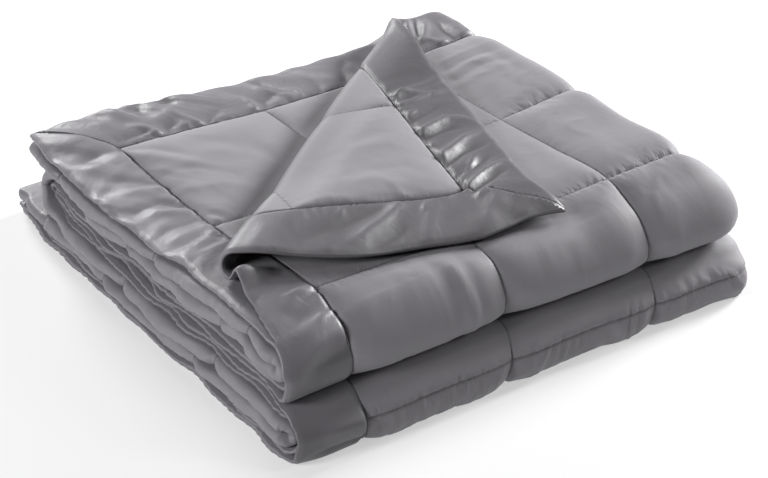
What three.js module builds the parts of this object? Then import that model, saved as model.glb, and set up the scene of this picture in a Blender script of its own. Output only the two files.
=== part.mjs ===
// A down alternative blanket: one box-quilted panel inside four strips of wide binding.
// It is folded in quarters across, then back and forth into four passes, and the head
// corner of its top layer is turned back over the stack.
//
// Every piece is cut flat on the sheet first. A point of the flat sheet has two
// measures: u runs across it and v runs from its head end to its foot end. foldedPoint
// then lays that point in the stack. Lengths are millimetres. In the stack, X runs
// along the front folds, Y to the back and Z up, from the left end of the lower fold.
import * as THREE from "three";

// The flat sheet.
const boxSide = 206;
const boxesAcross = 11;
const boxesAlong = 10.7;
const bindingWide = 84;
const flatWide = boxesAcross * boxSide + 2 * bindingWide;
const flatLong = boxesAlong * boxSide + 2 * bindingWide;
const pieceGap = 0.3;

// Thickness of the layers. The pitch is the height that one pressed layer takes up.
const layerPitch = 8.6;
const seamHalf = 1.2;
const puffHalf = 2.6;
const puffPower = 5;
const looseRise = 6;
const bindingHalf = 3.3;
const lipHalf = 1.6;
const lipDepth = 6;
const pinchDepth = 8;
const floorHalf = layerPitch / 2;

// Creases across the sheet. The section of four layers starts at the left edge.
const rightTurnX = 592;
const outerTurn = 1.5 * layerPitch;
const innerTurn = 0.5 * layerPitch;
const turnLengths = Math.PI * (outerTurn + 2 * innerTurn);
const leftTurnX = (4 * rightTurnX + turnLengths - flatWide) / 2;

// Folds along the sheet, each pass four layers thick.
const packHalf = 2 * layerPitch;
const packThick = 2 * packHalf;
const headEndY = 602;
const upperTurnY = 58.4;
const backTurnY = 552.6;
const lowerTurnY = packThick;
const noseSlump = 0.22;
const nosePower = 0.57;

// How far the right creases stand out along the stack, and how much more in a box.
const sideStations = [
  { y: 0, out: 0, puff: 22 },
  { y: 106, out: 0, puff: 20 },
  { y: 210, out: -2, puff: 3 },
  { y: 312, out: 3, puff: 3 },
  { y: 400, out: 4, puff: 3 },
  { y: 518, out: 8, puff: 3 },
  { y: 602, out: 8, puff: 3 },
];
const sidePower = 3.2;

// How far the lower fold stands out at the front, along it, and how much more in a box.
const frontStations = [
  { x: 0, out: 0 },
  { x: 60, out: 5 },
  { x: 120, out: 5 },
  { x: 290, out: 3 },
  { x: 496, out: 2 },
  { x: 560, out: 4 },
  { x: 600, out: 3 },
];
const frontBox = { out: 10, power: 3.6 };
const frontFades = { top: 0.7, width: 1.1, bottom: -1.571, bottomWidth: 0.6 };

// The corner of the top layer that is turned back: its fold runs from the left edge to
// the head edge, as a loose roll that is widest at the left.
const cornerFold = { leftY: 176, backX: 546 };
const rollRadius = { left: 15, back: 12 };
const flapRise = 2 * (seamHalf + puffHalf) + 2.5;
const flapSettle = 230;
const tipLift = { rise: 6.5, from: 190, over: 170 };
const bowDepth = 130;
const freeFrom = { start: 14, width: 40 };
const flapFree = { start: 60, width: 40 };
const freeAngles = { width: 0.8, upper: -0.9, lowerTop: 0.9, lowerEnd: -1.2 };
const drawIn = { depth: 16, across: 140, along: 95 };
const pressMargin = 150;

// How far the turned corner's free edges bow out: its left edge from the fold to the tip,
// and its head edge from the tip to the fold.
const leftBow = [
  { part: 0, out: 0 },
  { part: 0.1, out: 19 },
  { part: 0.25, out: 26 },
  { part: 0.4, out: 25 },
  { part: 0.6, out: 14.5 },
  { part: 0.8, out: 11.5 },
  { part: 1, out: 10.8 },
];
const headBow = [
  { part: 0, out: 8.1 },
  { part: 0.05, out: 1 },
  { part: 0.12, out: -7 },
  { part: 0.25, out: -2.5 },
  { part: 0.45, out: 2.8 },
  { part: 0.65, out: 1 },
  { part: 0.85, out: 7 },
  { part: 1, out: 0 },
];

// Height of the settled stack over its length, at five places across it.
const heightStations = [42, 180, 290, 496, 600];
const settledHeights = [
  { y: 0, heights: [126, 127, 127, 119, 115] },
  { y: 50, heights: [136, 137, 137, 128, 126] },
  { y: 106, heights: [150, 147, 145, 149, 150] },
  { y: 210, heights: [146, 142, 139, 141, 143] },
  { y: 312, heights: [134, 129, 130, 132, 140] },
  { y: 518, heights: [141, 133, 124, 118, 127] },
  { y: 610, heights: [143, 134, 121, 112, 126] },
  { y: 660, heights: [142, 133, 120, 109, 122] },
];

// How far the left edges lie in: in pass four, in the two middle passes, and in pass one.
const leftEdges = [
  { y: 30, inwards: [-10, -3, 0] },
  { y: 80, inwards: [-10, -1, 0] },
  { y: 200, inwards: [-5, 0, 0] },
  { y: 310, inwards: [-2, 0, 3] },
  { y: 430, inwards: [4.5, 0, 0] },
  { y: 530, inwards: [5.5, 0, 4] },
  { y: 600, inwards: [9, -2, 12] },
  { y: 650, inwards: [16, -2, 12] },
];
const leftLevels = [0.5 * packThick, 2 * packThick, 3.3 * packThick];
const leftEase = 130;
const headTuck = { depth: 9, startY: 470, x: 80 };
const slopeY = [upperTurnY, 80, 106];
const stackHeight = 4 * packThick;
const lowerSpread = { right: 14, seams: 18, height: 75, front: 150 };
const edgeWander = { size: 3, alongY: 97, alongZ: 23 };

const clamp = (value) => Math.min(1, Math.max(0, value));
const smooth = (value) => {
  const t = clamp(value);
  return t * t * (3 - 2 * t);
};
const mix = (a, b, t) => a + (b - a) * t;

// Value of a row of numbers at a place between its stations: a smooth curve through
// them all, level at both ends and beyond.
function between(stations, values, place) {
  const last = stations.length - 1;
  const slope = (at) => {
    const inside = at > 0 && at < last;
    const run = inside ? stations[at + 1] - stations[at - 1] : 1;
    return inside ? (values[at + 1] - values[at - 1]) / run : 0;
  };
  let index = 0;
  while (index < last - 1 && place > stations[index + 1]) {
    index += 1;
  }
  const span = stations[index + 1] - stations[index];
  const t = clamp((place - stations[index]) / span);
  const bend = t * (1 - t) * span;
  const curve = bend * ((1 - t) * slope(index) - t * slope(index + 1));
  return mix(values[index], values[index + 1], smooth(t)) + curve;
}

// The same for a table: one column gives the places and another one the values.
function fromTable(table, placeName, valueName, place) {
  return between(table.map((row) => row[placeName]), table.map((row) => row[valueName]), place);
}

// Section across the sheet: a place on it, its height from the middle of the four
// layers, and the direction that its face side looks in.
const sectionRuns = [
  { name: "first", length: rightTurnX },
  { name: "outer crease", length: Math.PI * outerTurn },
  { name: "second", length: rightTurnX - leftTurnX },
  { name: "left crease", length: Math.PI * innerTurn },
  { name: "third", length: rightTurnX - leftTurnX },
  { name: "inner crease", length: Math.PI * innerTurn },
  { name: "fourth", length: flatWide },
];

function runAt(runs, distance) {
  let start = 0;
  let index = 0;
  while (index < runs.length - 1 && distance > start + runs[index].length) {
    start += runs[index].length;
    index += 1;
  }
  return { name: runs[index].name, past: distance - start, length: runs[index].length };
}

function across(u) {
  const run = runAt(sectionRuns, u);
  const turn = (Math.PI * run.past) / run.length;
  const sine = Math.sin(turn);
  const cosine = Math.cos(turn);
  switch (run.name) {
    case "first":
      return { run, x: u, h: outerTurn, nx: 0, nh: 1 };
    case "outer crease":
      return { run, x: rightTurnX + outerTurn * sine, h: outerTurn * cosine, nx: sine, nh: cosine };
    case "second":
      return { run, x: rightTurnX - run.past, h: -outerTurn, nx: 0, nh: -1 };
    case "left crease":
      return {
        run,
        x: leftTurnX - innerTurn * sine,
        h: -layerPitch - innerTurn * cosine,
        nx: -sine,
        nh: -cosine,
      };
    case "third":
      return { run, x: leftTurnX + run.past, h: -innerTurn, nx: 0, nh: 1 };
    case "inner crease":
      return { run, x: rightTurnX + innerTurn * sine, h: -innerTurn * cosine, nx: -sine, nh: cosine };
    default:
      return { run, x: rightTurnX - run.past, h: innerTurn, nx: 0, nh: -1 };
  }
}

// Path along the sheet. Each place gives the centre that the pack turns round there,
// and the direction from that centre in which the layers are stacked. The lower fold's
// outer layer keeps its full length, so a seam shows low on its front.
const foldLength = Math.PI * packHalf;
const lowerFoldLength = Math.PI * (packHalf + outerTurn);
const pathRuns = [
  { name: "pass one", length: headEndY - upperTurnY },
  { name: "upper fold", length: foldLength },
  { name: "pass two", length: backTurnY - upperTurnY },
  { name: "back fold", length: foldLength },
  { name: "pass three", length: backTurnY - lowerTurnY },
  { name: "lower fold", length: lowerFoldLength },
  { name: "pass four", length: flatLong },
];

// Outline of a fold of unit size: round above, fuller below, and leaning forward.
function noseOutline(angle) {
  const out = Math.cos(angle);
  const up = Math.sin(angle);
  if (up >= 0) {
    return { out: out * (1 - noseSlump * up), up };
  }
  return { out: Math.abs(out) ** nosePower, up: -(Math.abs(up) ** nosePower) };
}

function along(v) {
  return { ...placeOnPath(v), far: headEndY - v };
}

function placeOnPath(v) {
  const run = runAt(pathRuns, v);
  const angle = Math.PI / 2 - (Math.PI * run.past) / run.length;
  const nose = noseOutline(angle);
  switch (run.name) {
    case "pass one":
      return { run, y: headEndY - v, z: 3 * packThick, dy: 0, dz: 1, side: 1, angle: 0 };
    case "upper fold":
      return { run, y: upperTurnY, z: 3 * packThick, dy: -nose.out, dz: nose.up, side: 1, angle };
    case "pass two":
      return { run, y: upperTurnY + run.past, z: 3 * packThick, dy: 0, dz: -1, side: 1, angle: 0 };
    case "back fold":
      return { run, y: backTurnY, z: 2 * packThick, dy: nose.out, dz: nose.up, side: -1, angle };
    case "pass three":
      return { run, y: backTurnY - run.past, z: 2 * packThick, dy: 0, dz: -1, side: -1, angle: 0 };
    case "lower fold":
      return { run, y: lowerTurnY, z: packThick, dy: -nose.out, dz: nose.up, side: 1, angle };
    default:
      return { run, y: lowerTurnY + run.past, z: packThick, dy: 0, dz: -1, side: 1, angle: 0 };
  }
}

// The corner's fold line, seen from above.
const foldSpan = Math.hypot(cornerFold.backX, headEndY - cornerFold.leftY);
const foldWay = { x: cornerFold.backX / foldSpan, y: (headEndY - cornerFold.leftY) / foldSpan };

function fromFold(x, y) {
  const dy = y - cornerFold.leftY;
  const length = x * foldWay.x + dy * foldWay.y;
  const beyond = -x * foldWay.y + dy * foldWay.x;
  return { length, beyond, radius: mix(rollRadius.left, rollRadius.back, clamp(length / foldSpan)) };
}

// How far a place on the top layer lies past the start of the roll, measured on the cloth.
function pastRoll(x, y) {
  const place = fromFold(x, y);
  return place.beyond + place.radius;
}

function onTopLayer(section, station) {
  return section.run.name === "first" && station.run.name === "pass one";
}

function drawnIn(x, y) {
  const near = clamp(1 - x / drawIn.across);
  return x + drawIn.depth * near * near * Math.exp(-(((y - cornerFold.leftY) / drawIn.along) ** 2));
}

// The turned-back corner's free edges, which bow outwards.
function bowed(x, y) {
  const bow = (table, distance, part) => {
    const near = clamp(1 - distance / bowDepth);
    return near * near * fromTable(table, "part", "out", clamp(part));
  };
  return {
    x: x - bow(leftBow, x, (y - cornerFold.leftY) / (headEndY - cornerFold.leftY)),
    y: y + bow(headBow, headEndY - y, x / cornerFold.backX),
  };
}

// Place of a point on the turned-back corner, at a distance off the cloth's middle.
function turnedBack(x, y, z, off) {
  const place = fromFold(x, y);
  const past = place.beyond + place.radius;
  const rollEnd = Math.PI * place.radius;
  const turn = Math.PI * clamp(past / rollEnd);
  const settled = smooth((past - rollEnd) / flapSettle);
  const top = mix(2 * place.radius, flapRise, settled);
  const lift = tipLift.rise * smooth((past - tipLift.from) / tipLift.over);
  const rise = past < rollEnd ? place.radius * (1 - Math.cos(turn)) : top + lift;
  const flat = past < rollEnd ? place.radius * Math.sin(turn) : rollEnd - past;
  const beyond = flat - place.radius - off * Math.sin(turn);
  return {
    x: place.length * foldWay.x - beyond * foldWay.y,
    y: cornerFold.leftY + place.length * foldWay.y + beyond * foldWay.x,
    z: z + rise + off * Math.cos(turn),
  };
}

// How the pressed stack really settled: its height changes over its length, the lower
// layers spread a little to the right, and the left edges wander.
function settle(point) {
  const rows = settledHeights.map((row) => between(heightStations, row.heights, point.x));
  const height = between(settledHeights.map((row) => row.y), rows, point.y);
  const low = smooth((lowerSpread.height - point.z) / lowerSpread.height);
  const front = smooth((lowerSpread.front - point.y) / lowerSpread.front);
  const middle = smooth((point.x - bindingWide) / boxSide);
  const right = smooth((point.x - bindingWide - 2 * boxSide) / (boxSide / 2));
  const spread = low * (lowerSpread.right * right - lowerSpread.seams * front * middle * (1 - right));
  const x = point.x + spread + leftMove(point) * (1 - smooth(point.x / leftEase));
  return new THREE.Vector3(x, point.y, (point.z * height) / stackHeight);
}

function leftMove(point) {
  const rows = leftEdges.map((row) => between(leftLevels, row.inwards, point.z));
  const wave = Math.sin(point.y / edgeWander.alongY + point.z / edgeWander.alongZ);
  return between(leftEdges.map((row) => row.y), rows, point.y) + edgeWander.size * wave;
}

// Crown of a box, from 0 on its seams to 1 in its middle.
function crown(u, v, power) {
  const part = (distance) => {
    const place = (distance - bindingWide) / boxSide;
    return 1 - Math.abs(2 * (place - Math.floor(place)) - 1) ** power;
  };
  return part(u) * part(v);
}

// How free a face is to rise, from 0 where the stack presses it to 1 in the open.
function looseness(section, station, faceUp) {
  const name = section.run.name;
  const beyond = fromFold(section.x, station.y).beyond;
  if (faceUp && (name === "first" || name === "outer crease")) {
    const side = name === "first" ? 1 : (1 + section.nh) / 2;
    const open = 1 - underFlap(section.x, station.far);
    if (station.run.name === "pass one") {
      return pastRoll(section.x, station.y) > 0 ? 0 : side * open;
    }
    if (station.run.name === "upper fold") {
      return side * open * smooth((station.angle - freeAngles.upper) / freeAngles.width);
    }
    if (station.run.name === "lower fold") {
      const fromTop = smooth((freeAngles.lowerTop - station.angle) / freeAngles.width);
      return side * fromTop * smooth((station.angle - freeAngles.lowerEnd) / freeAngles.width);
    }
  }
  if (!faceUp && station.run.name === "pass one") {
    if (name === "fourth") {
      return smooth((beyond - freeFrom.start) / freeFrom.width);
    }
    if (name === "first") {
      return smooth((pastRoll(section.x, station.y) - flapFree.start) / flapFree.width);
    }
  }
  return 0;
}

// 1 where the turned-back corner lies on the top layer, 0 a little outside it.
function underFlap(x, y) {
  const place = fromFold(x, y);
  const mirrorX = place.length * foldWay.x + place.beyond * foldWay.y;
  const mirrorY = cornerFold.leftY + place.length * foldWay.y - place.beyond * foldWay.x;
  const inX = smooth((mirrorX + pressMargin) / pressMargin);
  const inY = smooth((headEndY + pressMargin - mirrorY) / pressMargin);
  return inX * inY;
}

// Half the thickness of a binding: thin at its folded lip, and pinched at its seam.
function bindingThick(u, v) {
  const edge = Math.min(u, v, flatWide - u, flatLong - v);
  const atLip = mix(lipHalf, bindingHalf, smooth(edge / lipDepth));
  return mix(seamHalf, atLip, smooth((bindingWide - edge) / pinchDepth));
}

// Distance of a face from the middle of the cloth.
function faceOff(u, v, isPanel, faceUp) {
  const section = across(u);
  const station = along(v);
  const restsOnFloor = faceUp && section.run.name === "first" && station.run.name === "pass four";
  if (restsOnFloor) {
    return floorHalf;
  }
  const puff = isPanel ? crown(u, v, puffPower) : 0;
  const base = isPanel ? seamHalf + puffHalf * puff : bindingThick(u, v);
  const off = base + looseRise * puff * looseness(section, station, faceUp);
  if (faceUp && station.run.name === "lower fold" && station.dz < 0) {
    const reach = packHalf + section.h;
    return Math.min(off, Math.max(packThick / -station.dz - reach, 0));
  }
  return off;
}

// How far the outer crease stands out to the right, and how far the lower fold to the front.
function sideOut(u, v, section, station) {
  if (section.run.name !== "outer crease") {
    return 0;
  }
  const out = fromTable(sideStations, "y", "out", station.y);
  return out + fromTable(sideStations, "y", "puff", station.y) * crown(u, v, sidePower);
}

function frontOut(u, section, station) {
  const isOuter = section.run.name === "first" || section.run.name === "outer crease";
  if (!isOuter || station.run.name !== "lower fold") {
    return 0;
  }
  const place = (u - bindingWide) / boxSide;
  const box = 1 - Math.abs(2 * (place - Math.floor(place)) - 1) ** frontBox.power;
  const out = fromTable(frontStations, "x", "out", section.x) + (u > bindingWide ? frontBox.out * box : 0);
  const below = smooth((frontFades.top - station.angle) / frontFades.width);
  const above = smooth((station.angle - frontFades.bottom) / frontFades.bottomWidth);
  return (out * below * above * (1 + section.nh)) / 2;
}

// How far the left crease is tucked in at the head end.
function tucked(section, station) {
  const isInside = ["second", "left crease", "third"].includes(section.run.name);
  if (!isInside || station.run.name !== "pass one") {
    return 0;
  }
  const back = smooth((station.y - headTuck.startY) / (headEndY - headTuck.startY));
  return headTuck.depth * back * (1 - smooth(section.x / headTuck.x));
}

function foldedPoint(u, v, off) {
  const section = across(u);
  const station = along(v);
  const bulge = sideOut(u, v, section, station);
  const h = section.h + section.nh * off;
  const x = section.x + section.nx * (off + bulge) + tucked(section, station);
  const reach = packHalf + station.side * h;
  if (onTopLayer(section, station)) {
    const inX = drawnIn(x, station.y);
    const middle = station.z + packHalf + section.h;
    if (pastRoll(inX, station.y) > 0) {
      const place = bowed(inX, station.y);
      return settle(turnedBack(place.x, place.y, middle, off));
    }
    return settle({ x: inX, y: station.y, z: middle + off });
  }
  const y = station.y + station.dy * reach - frontOut(u, section, station);
  return settle({ x, y, z: station.z + station.dz * reach });
}

// A flat piece cut into triangles between its lines across and along. Its ends may slant.
function cutPiece(uLines, vLines, startAt, endAt) {
  const points = [];
  for (const u of uLines) {
    for (const [index, v] of vLines.entries()) {
      const isStart = index === 0;
      const isEnd = index === vLines.length - 1;
      points.push([u, isStart ? startAt(u) : isEnd ? endAt(u) : v]);
    }
  }
  const rows = vLines.length;
  const triangles = [];
  for (let i = 0; i < uLines.length - 1; i += 1) {
    for (let j = 0; j < rows - 1; j += 1) {
      const a = i * rows + j;
      const b = a + rows;
      triangles.push([a, b, b + 1], [a, b + 1, a + 1]);
    }
  }
  return { points, triangles };
}

const onLine = 1e-6;

// The same piece with its triangles divided where a measure passes zero.
function divideAlong(piece, measure) {
  const points = [...piece.points];
  const values = points.map(([u, v]) => measure(u, v));
  const cuts = new Map();
  const cutEdge = (a, b) => {
    const key = a < b ? `${a}_${b}` : `${b}_${a}`;
    if (!cuts.has(key)) {
      const t = values[a] / (values[a] - values[b]);
      cuts.set(key, points.length);
      points.push([mix(points[a][0], points[b][0], t), mix(points[a][1], points[b][1], t)]);
    }
    return cuts.get(key);
  };
  const triangles = [];
  for (const triangle of piece.triangles) {
    const signs = triangle.map((at) => (Math.abs(values[at]) < onLine ? 0 : Math.sign(values[at])));
    const above = signs.filter((sign) => sign > 0).length;
    const below = signs.filter((sign) => sign < 0).length;
    if (above === 0 || below === 0) {
      triangles.push(triangle);
      continue;
    }
    const turned = (start) => [0, 1, 2].map((step) => triangle[(start + step) % 3]);
    if (above === 1 && below === 1) {
      const [a, b, c] = turned(signs.indexOf(0));
      const cut = cutEdge(b, c);
      triangles.push([a, b, cut], [a, cut, c]);
      continue;
    }
    const lone = above === 1 ? signs.indexOf(1) : signs.indexOf(-1);
    const [a, b, c] = turned(lone);
    const ab = cutEdge(a, b);
    const ca = cutEdge(c, a);
    triangles.push([a, ab, ca], [ab, b, c], [ab, c, ca]);
  }
  return { points, triangles };
}

// Lines on which the top layer starts to roll, turns, and settles on the stack.
const rollTurns = [0, 0.25, 0.5, 0.75, 1];
const settleSteps = [0.3, 0.65, 1];

function withRoll(piece) {
  const onCloth = (u, v) => fromFold(u, headEndY - v);
  const topOnly = (u, v) => u < rightTurnX && v < headEndY - upperTurnY;
  const lineMeasure = (distance) => (u, v) => {
    const place = onCloth(u, v);
    return topOnly(u, v) ? place.beyond + place.radius - distance(place.radius) : -1;
  };
  const uncovered = (step) => (u, v) => {
    const section = across(u);
    const isUnder = section.run.name === "fourth" && along(v).run.name === "pass one";
    const beyond = fromFold(section.x, headEndY - v).beyond;
    return isUnder ? beyond - freeFrom.start - step * freeFrom.width : -1;
  };
  const turns = rollTurns.map((turn) => (radius) => Math.PI * turn * radius);
  const steps = settleSteps.map((step) => (radius) => Math.PI * radius + step * flapSettle);
  const measures = [...[...turns, ...steps].map(lineMeasure), uncovered(0), uncovered(1)];
  return measures.reduce(divideAlong, piece);
}

// The piece as a closed solid: its face side, its back side, and the wall round its edge.
function thickened(piece, isPanel) {
  const positions = [];
  for (const faceUp of [true, false]) {
    for (const [u, v] of piece.points) {
      const off = faceOff(u, v, isPanel, faceUp);
      const point = foldedPoint(u, v, faceUp ? off : -off);
      positions.push(point.x, point.y, point.z);
    }
  }
  const back = piece.points.length;
  const indices = [];
  const edges = new Set();
  for (const [a, b, c] of piece.triangles) {
    indices.push(a, c, b, back + a, back + b, back + c);
    for (const [from, to] of [[a, b], [b, c], [c, a]]) {
      edges.add(`${from}_${to}`);
    }
  }
  const nearHead = ([u, v]) => u + v;
  for (const edge of edges) {
    const [from, to] = edge.split("_").map(Number);
    if (edges.has(`${to}_${from}`)) {
      continue;
    }
    if (nearHead(piece.points[from]) < nearHead(piece.points[to])) {
      indices.push(from, to, back + to, from, back + to, back + from);
    } else {
      indices.push(from, to, back + from, to, back + to, back + from);
    }
  }
  const geometry = new THREE.BufferGeometry();
  geometry.setAttribute("position", new THREE.Float32BufferAttribute(positions, 3));
  geometry.setIndex(indices);
  return geometry;
}

// Lines that bend with the runs of a section or a path, one set for each turn.
function turnLines(runs, steps) {
  const lines = [];
  let start = 0;
  for (const run of runs) {
    if (run.name.includes("crease") || run.name.includes("fold")) {
      for (let step = 0; step <= steps[run.name]; step += 1) {
        lines.push(start + (run.length * step) / steps[run.name]);
      }
    }
    start += run.length;
  }
  return lines;
}

// Lines near the front where the height of the hidden passes changes most.
function slopeLines() {
  const lines = [];
  let start = 0;
  for (const run of pathRuns) {
    if (run.name === "pass two") {
      lines.push(...slopeY.slice(1).map((y) => start + y - upperTurnY));
    } else if (run.name === "pass three") {
      lines.push(...slopeY.map((y) => start + backTurnY - y));
    } else if (run.name === "pass four") {
      lines.push(...slopeY.slice(1).map((y) => start + y - lowerTurnY));
    }
    start += run.length;
  }
  return lines;
}

// Where lines run inside a box, as parts of its side: where it shows, and where it doesn't.
const shownAcross = [0.12, 0.88];
const shownAlong = [0.12, 0.5, 0.88];
const hiddenParts = [0.5];

// Seam lines of the boxes, with lines inside each box, more of them where it shows.
function boxLines(count, shows, shown) {
  const lines = [];
  for (let box = 0; box < count; box += 1) {
    const start = bindingWide + box * boxSide;
    const inside = shows(start) ? shown : hiddenParts;
    lines.push(start, ...inside.map((part) => start + part * boxSide));
  }
  return lines;
}

const lineSpacing = 6;

// Sorted lines, without those that fall too near a line that has to stay.
function arranged(fixed, loose, low, high) {
  const kept = loose.filter((line) => fixed.every((other) => Math.abs(line - other) > lineSpacing));
  const inside = [...fixed, ...kept].filter((line) => line > low && line < high);
  return [low, ...inside.sort((a, b) => a - b), high];
}

const creaseLines = turnLines(sectionRuns, { "outer crease": 5, "left crease": 4, "inner crease": 4 });
const turnsAlong = turnLines(pathRuns, { "upper fold": 7, "back fold": 5, "lower fold": 7 });
const foldLines = [...turnsAlong, ...slopeLines()];
const showsAcross = (u) => u < rightTurnX || u > flatWide - rightTurnX;
const showsAlong = (v) => v < headEndY;
const acrossLines = boxLines(boxesAcross, showsAcross, shownAcross);
const fullRows = Math.floor(boxesAlong);
const lastSeam = bindingWide + fullRows * boxSide;
const alongLines = [...boxLines(fullRows, showsAlong, shownAlong), lastSeam];
const panelEnd = { u: flatWide - bindingWide, v: flatLong - bindingWide };

const half = pieceGap / 2;
const mitre = pieceGap * Math.SQRT1_2;
const bindingSteps = [lipDepth, bindingWide / 2, bindingWide - pinchDepth];

const panelCut = cutPiece(
  arranged(creaseLines, acrossLines, bindingWide + half, panelEnd.u - half),
  arranged(foldLines, alongLines, bindingWide + half, panelEnd.v - half),
  () => bindingWide + half,
  () => panelEnd.v - half,
);

// Lines across a binding strip, which start and end clear of its mitres.
function stripLines(fixed, loose, length) {
  const clear = bindingWide + pinchDepth;
  const inside = [...fixed, ...loose].filter((line) => line > clear && line < length - clear);
  const ends = [clear, length - clear];
  return arranged([...ends, ...fixed], inside, 0, length);
}

// A binding strip along a side of the sheet, mitred at both ends.
function sideCut(isRight) {
  const outward = [0, ...bindingSteps, bindingWide - half];
  const uLines = isRight ? outward.map((line) => flatWide - line).reverse() : outward;
  const depth = (u) => (isRight ? flatWide - u : u);
  const vLines = stripLines(foldLines, alongLines, flatLong);
  return cutPiece(uLines, vLines, (u) => depth(u) + mitre, (u) => flatLong - depth(u) - mitre);
}

// A binding strip along an end of the sheet, mitred at both ends.
function endCut(isFoot) {
  const outward = [0, ...bindingSteps, bindingWide - half];
  const vLines = isFoot ? outward.map((line) => flatLong - line).reverse() : outward;
  const depth = (v) => (isFoot ? flatLong - v : v);
  const uLines = stripLines(creaseLines, acrossLines, flatWide);
  const turned = cutPiece(vLines, uLines, (v) => depth(v) + mitre, (v) => flatWide - depth(v) - mitre);
  return {
    points: turned.points.map(([v, u]) => [u, v]),
    triangles: turned.triangles.map(([a, b, c]) => [a, c, b]),
  };
}

const microfibre = { color: 0x6f7074, roughness: 0.7, metalness: 0 };
const satin = { color: 0x77787d, roughness: 0.42, metalness: 0 };

function pieceMesh(name, piece, isPanel, finish) {
  const mesh = new THREE.Mesh(thickened(piece, isPanel), new THREE.MeshStandardMaterial(finish));
  mesh.name = name;
  return mesh;
}

const blanket = new THREE.Group();
blanket.add(
  pieceMesh("quilted_panel", withRoll(panelCut), true, microfibre),
  pieceMesh("left_side_binding", withRoll(sideCut(false)), false, satin),
  pieceMesh("right_side_binding", sideCut(true), false, satin),
  pieceMesh("head_end_binding", withRoll(endCut(false)), false, satin),
  pieceMesh("foot_end_binding", endCut(true), false, satin),
);

// The origin is below the middle of the stack.
const extent = new THREE.Box3().setFromObject(blanket);
const middle = extent.getCenter(new THREE.Vector3());
blanket.position.set(-middle.x, -middle.y, -extent.min.z);

export default blanket;
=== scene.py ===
import math

import bpy
import numpy as np
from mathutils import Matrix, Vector


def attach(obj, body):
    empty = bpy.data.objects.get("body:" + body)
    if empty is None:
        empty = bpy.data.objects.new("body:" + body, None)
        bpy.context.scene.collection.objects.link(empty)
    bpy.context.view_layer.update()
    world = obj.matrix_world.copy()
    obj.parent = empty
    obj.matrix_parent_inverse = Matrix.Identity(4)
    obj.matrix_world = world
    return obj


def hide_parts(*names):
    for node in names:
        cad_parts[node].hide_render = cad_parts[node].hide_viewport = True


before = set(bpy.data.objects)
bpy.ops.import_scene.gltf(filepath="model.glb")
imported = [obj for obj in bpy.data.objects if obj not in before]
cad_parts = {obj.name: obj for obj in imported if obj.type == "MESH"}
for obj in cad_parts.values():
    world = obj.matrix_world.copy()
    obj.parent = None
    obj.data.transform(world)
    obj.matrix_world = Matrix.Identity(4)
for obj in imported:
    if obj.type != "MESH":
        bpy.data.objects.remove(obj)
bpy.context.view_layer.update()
print("frame loaded")

sheet = {
    "boxSide": 206.0,
    "boxesAcross": 11,
    "boxesAlong": 10.7,
    "binding": 84.0,
    "gap": 0.3,
    "thinnest": 0.35,  # half the least thickness
    "stackToRow": (-313.599, -317.464, 0.0),  # from the stack's own corner to the row's origin
}
boxSide = sheet["boxSide"]
binding = sheet["binding"]
flatWide = sheet["boxesAcross"] * boxSide + 2 * binding
flatLong = sheet["boxesAlong"] * boxSide + 2 * binding

stack = {
    "pitch": 8.6,  # height of one pressed layer
    "rightTurn": 592.0,
    "headEnd": 602.0,
    "upperTurn": 58.4,
    "backTurn": 552.6,
    "noseSlump": 0.22,  # how the front and back folds sink below their middle
    "nosePower": 0.57,
    "sidePuffPower": 3.2,
}
pitch = stack["pitch"]
outerTurn = 1.5 * pitch
innerTurn = 0.5 * pitch
packHalf = 2 * pitch
packThick = 2 * packHalf
stackHeight = 4 * packThick
rightTurn = stack["rightTurn"]
headEnd = stack["headEnd"]
leftTurn = (4 * rightTurn + math.pi * (outerTurn + 2 * innerTurn) - flatWide) / 2

# The corner of the top layer that is turned back, with the roll along its fold.
corner = {
    "leftY": 176.0,  # where the fold meets the left side
    "backX": 546.0,  # and the back
    "rollLeft": 15.0,  # the roll's radius at both ends
    "rollBack": 14.0,
    "rise": 10.1,  # of the turned cloth over what it lies on
    "settles": 230.0,
    "tipLift": 6.5,
    "liftFrom": 190.0,
    "liftOver": 170.0,
    "bowDepth": 130.0,
    "sagFades": 116.0,
    "drawDepth": 16.0,  # how far the fold's left end is drawn in
    "drawAcross": 140.0,
    "drawAlong": 95.0,
    "pressMargin": 60.0,
}

# Height of the settled stack over its length (rows) at seven places across it.
heightPlaces = [42, 180, 290, 496, 545, 580, 618]
settledHeights = {
    0: [126, 127, 127, 119, 117, 116, 115],
    50: [136, 137, 137, 128, 127, 126, 126],
    106: [150, 147, 145, 149, 149.5, 150, 150],
    210: [146, 142, 139, 141, 141.5, 142, 143],
    312: [134, 129, 130, 132, 135, 138, 140],
    518: [141, 133, 124, 118, 122, 123, 127],
    610: [143, 134, 118, 110, 125, 122, 124],
    660: [142, 133, 117, 107, 122, 118, 120],
}
# How far the left edges lie in over the stack's length, at four levels from low to high.
leftLevels = [0.5 * packThick, 2 * packThick, 3 * packThick, 3.6 * packThick]
leftEdges = {
    30: [-10, -3, -1, 0],
    80: [-10, -1, 0, 0],
    200: [-5, 0, 0, 0],
    310: [-2, 0, 2, 3],
    430: [4.5, 0, 0, 0],
    530: [5.5, 3, 2, 4],
    600: [9, 5, 7, 12],
    650: [16, 5, 7, 12],
}
# How far the right creases stand out over the stack's length, and how much more in a box.
sideOut = {0: -1, 60: 2, 106: 0, 160: -3, 210: -2, 260: 2, 312: 9, 370: 5, 518: 8, 602: 8}
sidePuff = {0: 23, 60: 25, 106: 16, 150: 4, 210: 2, 312: 3, 602: 3}
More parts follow.
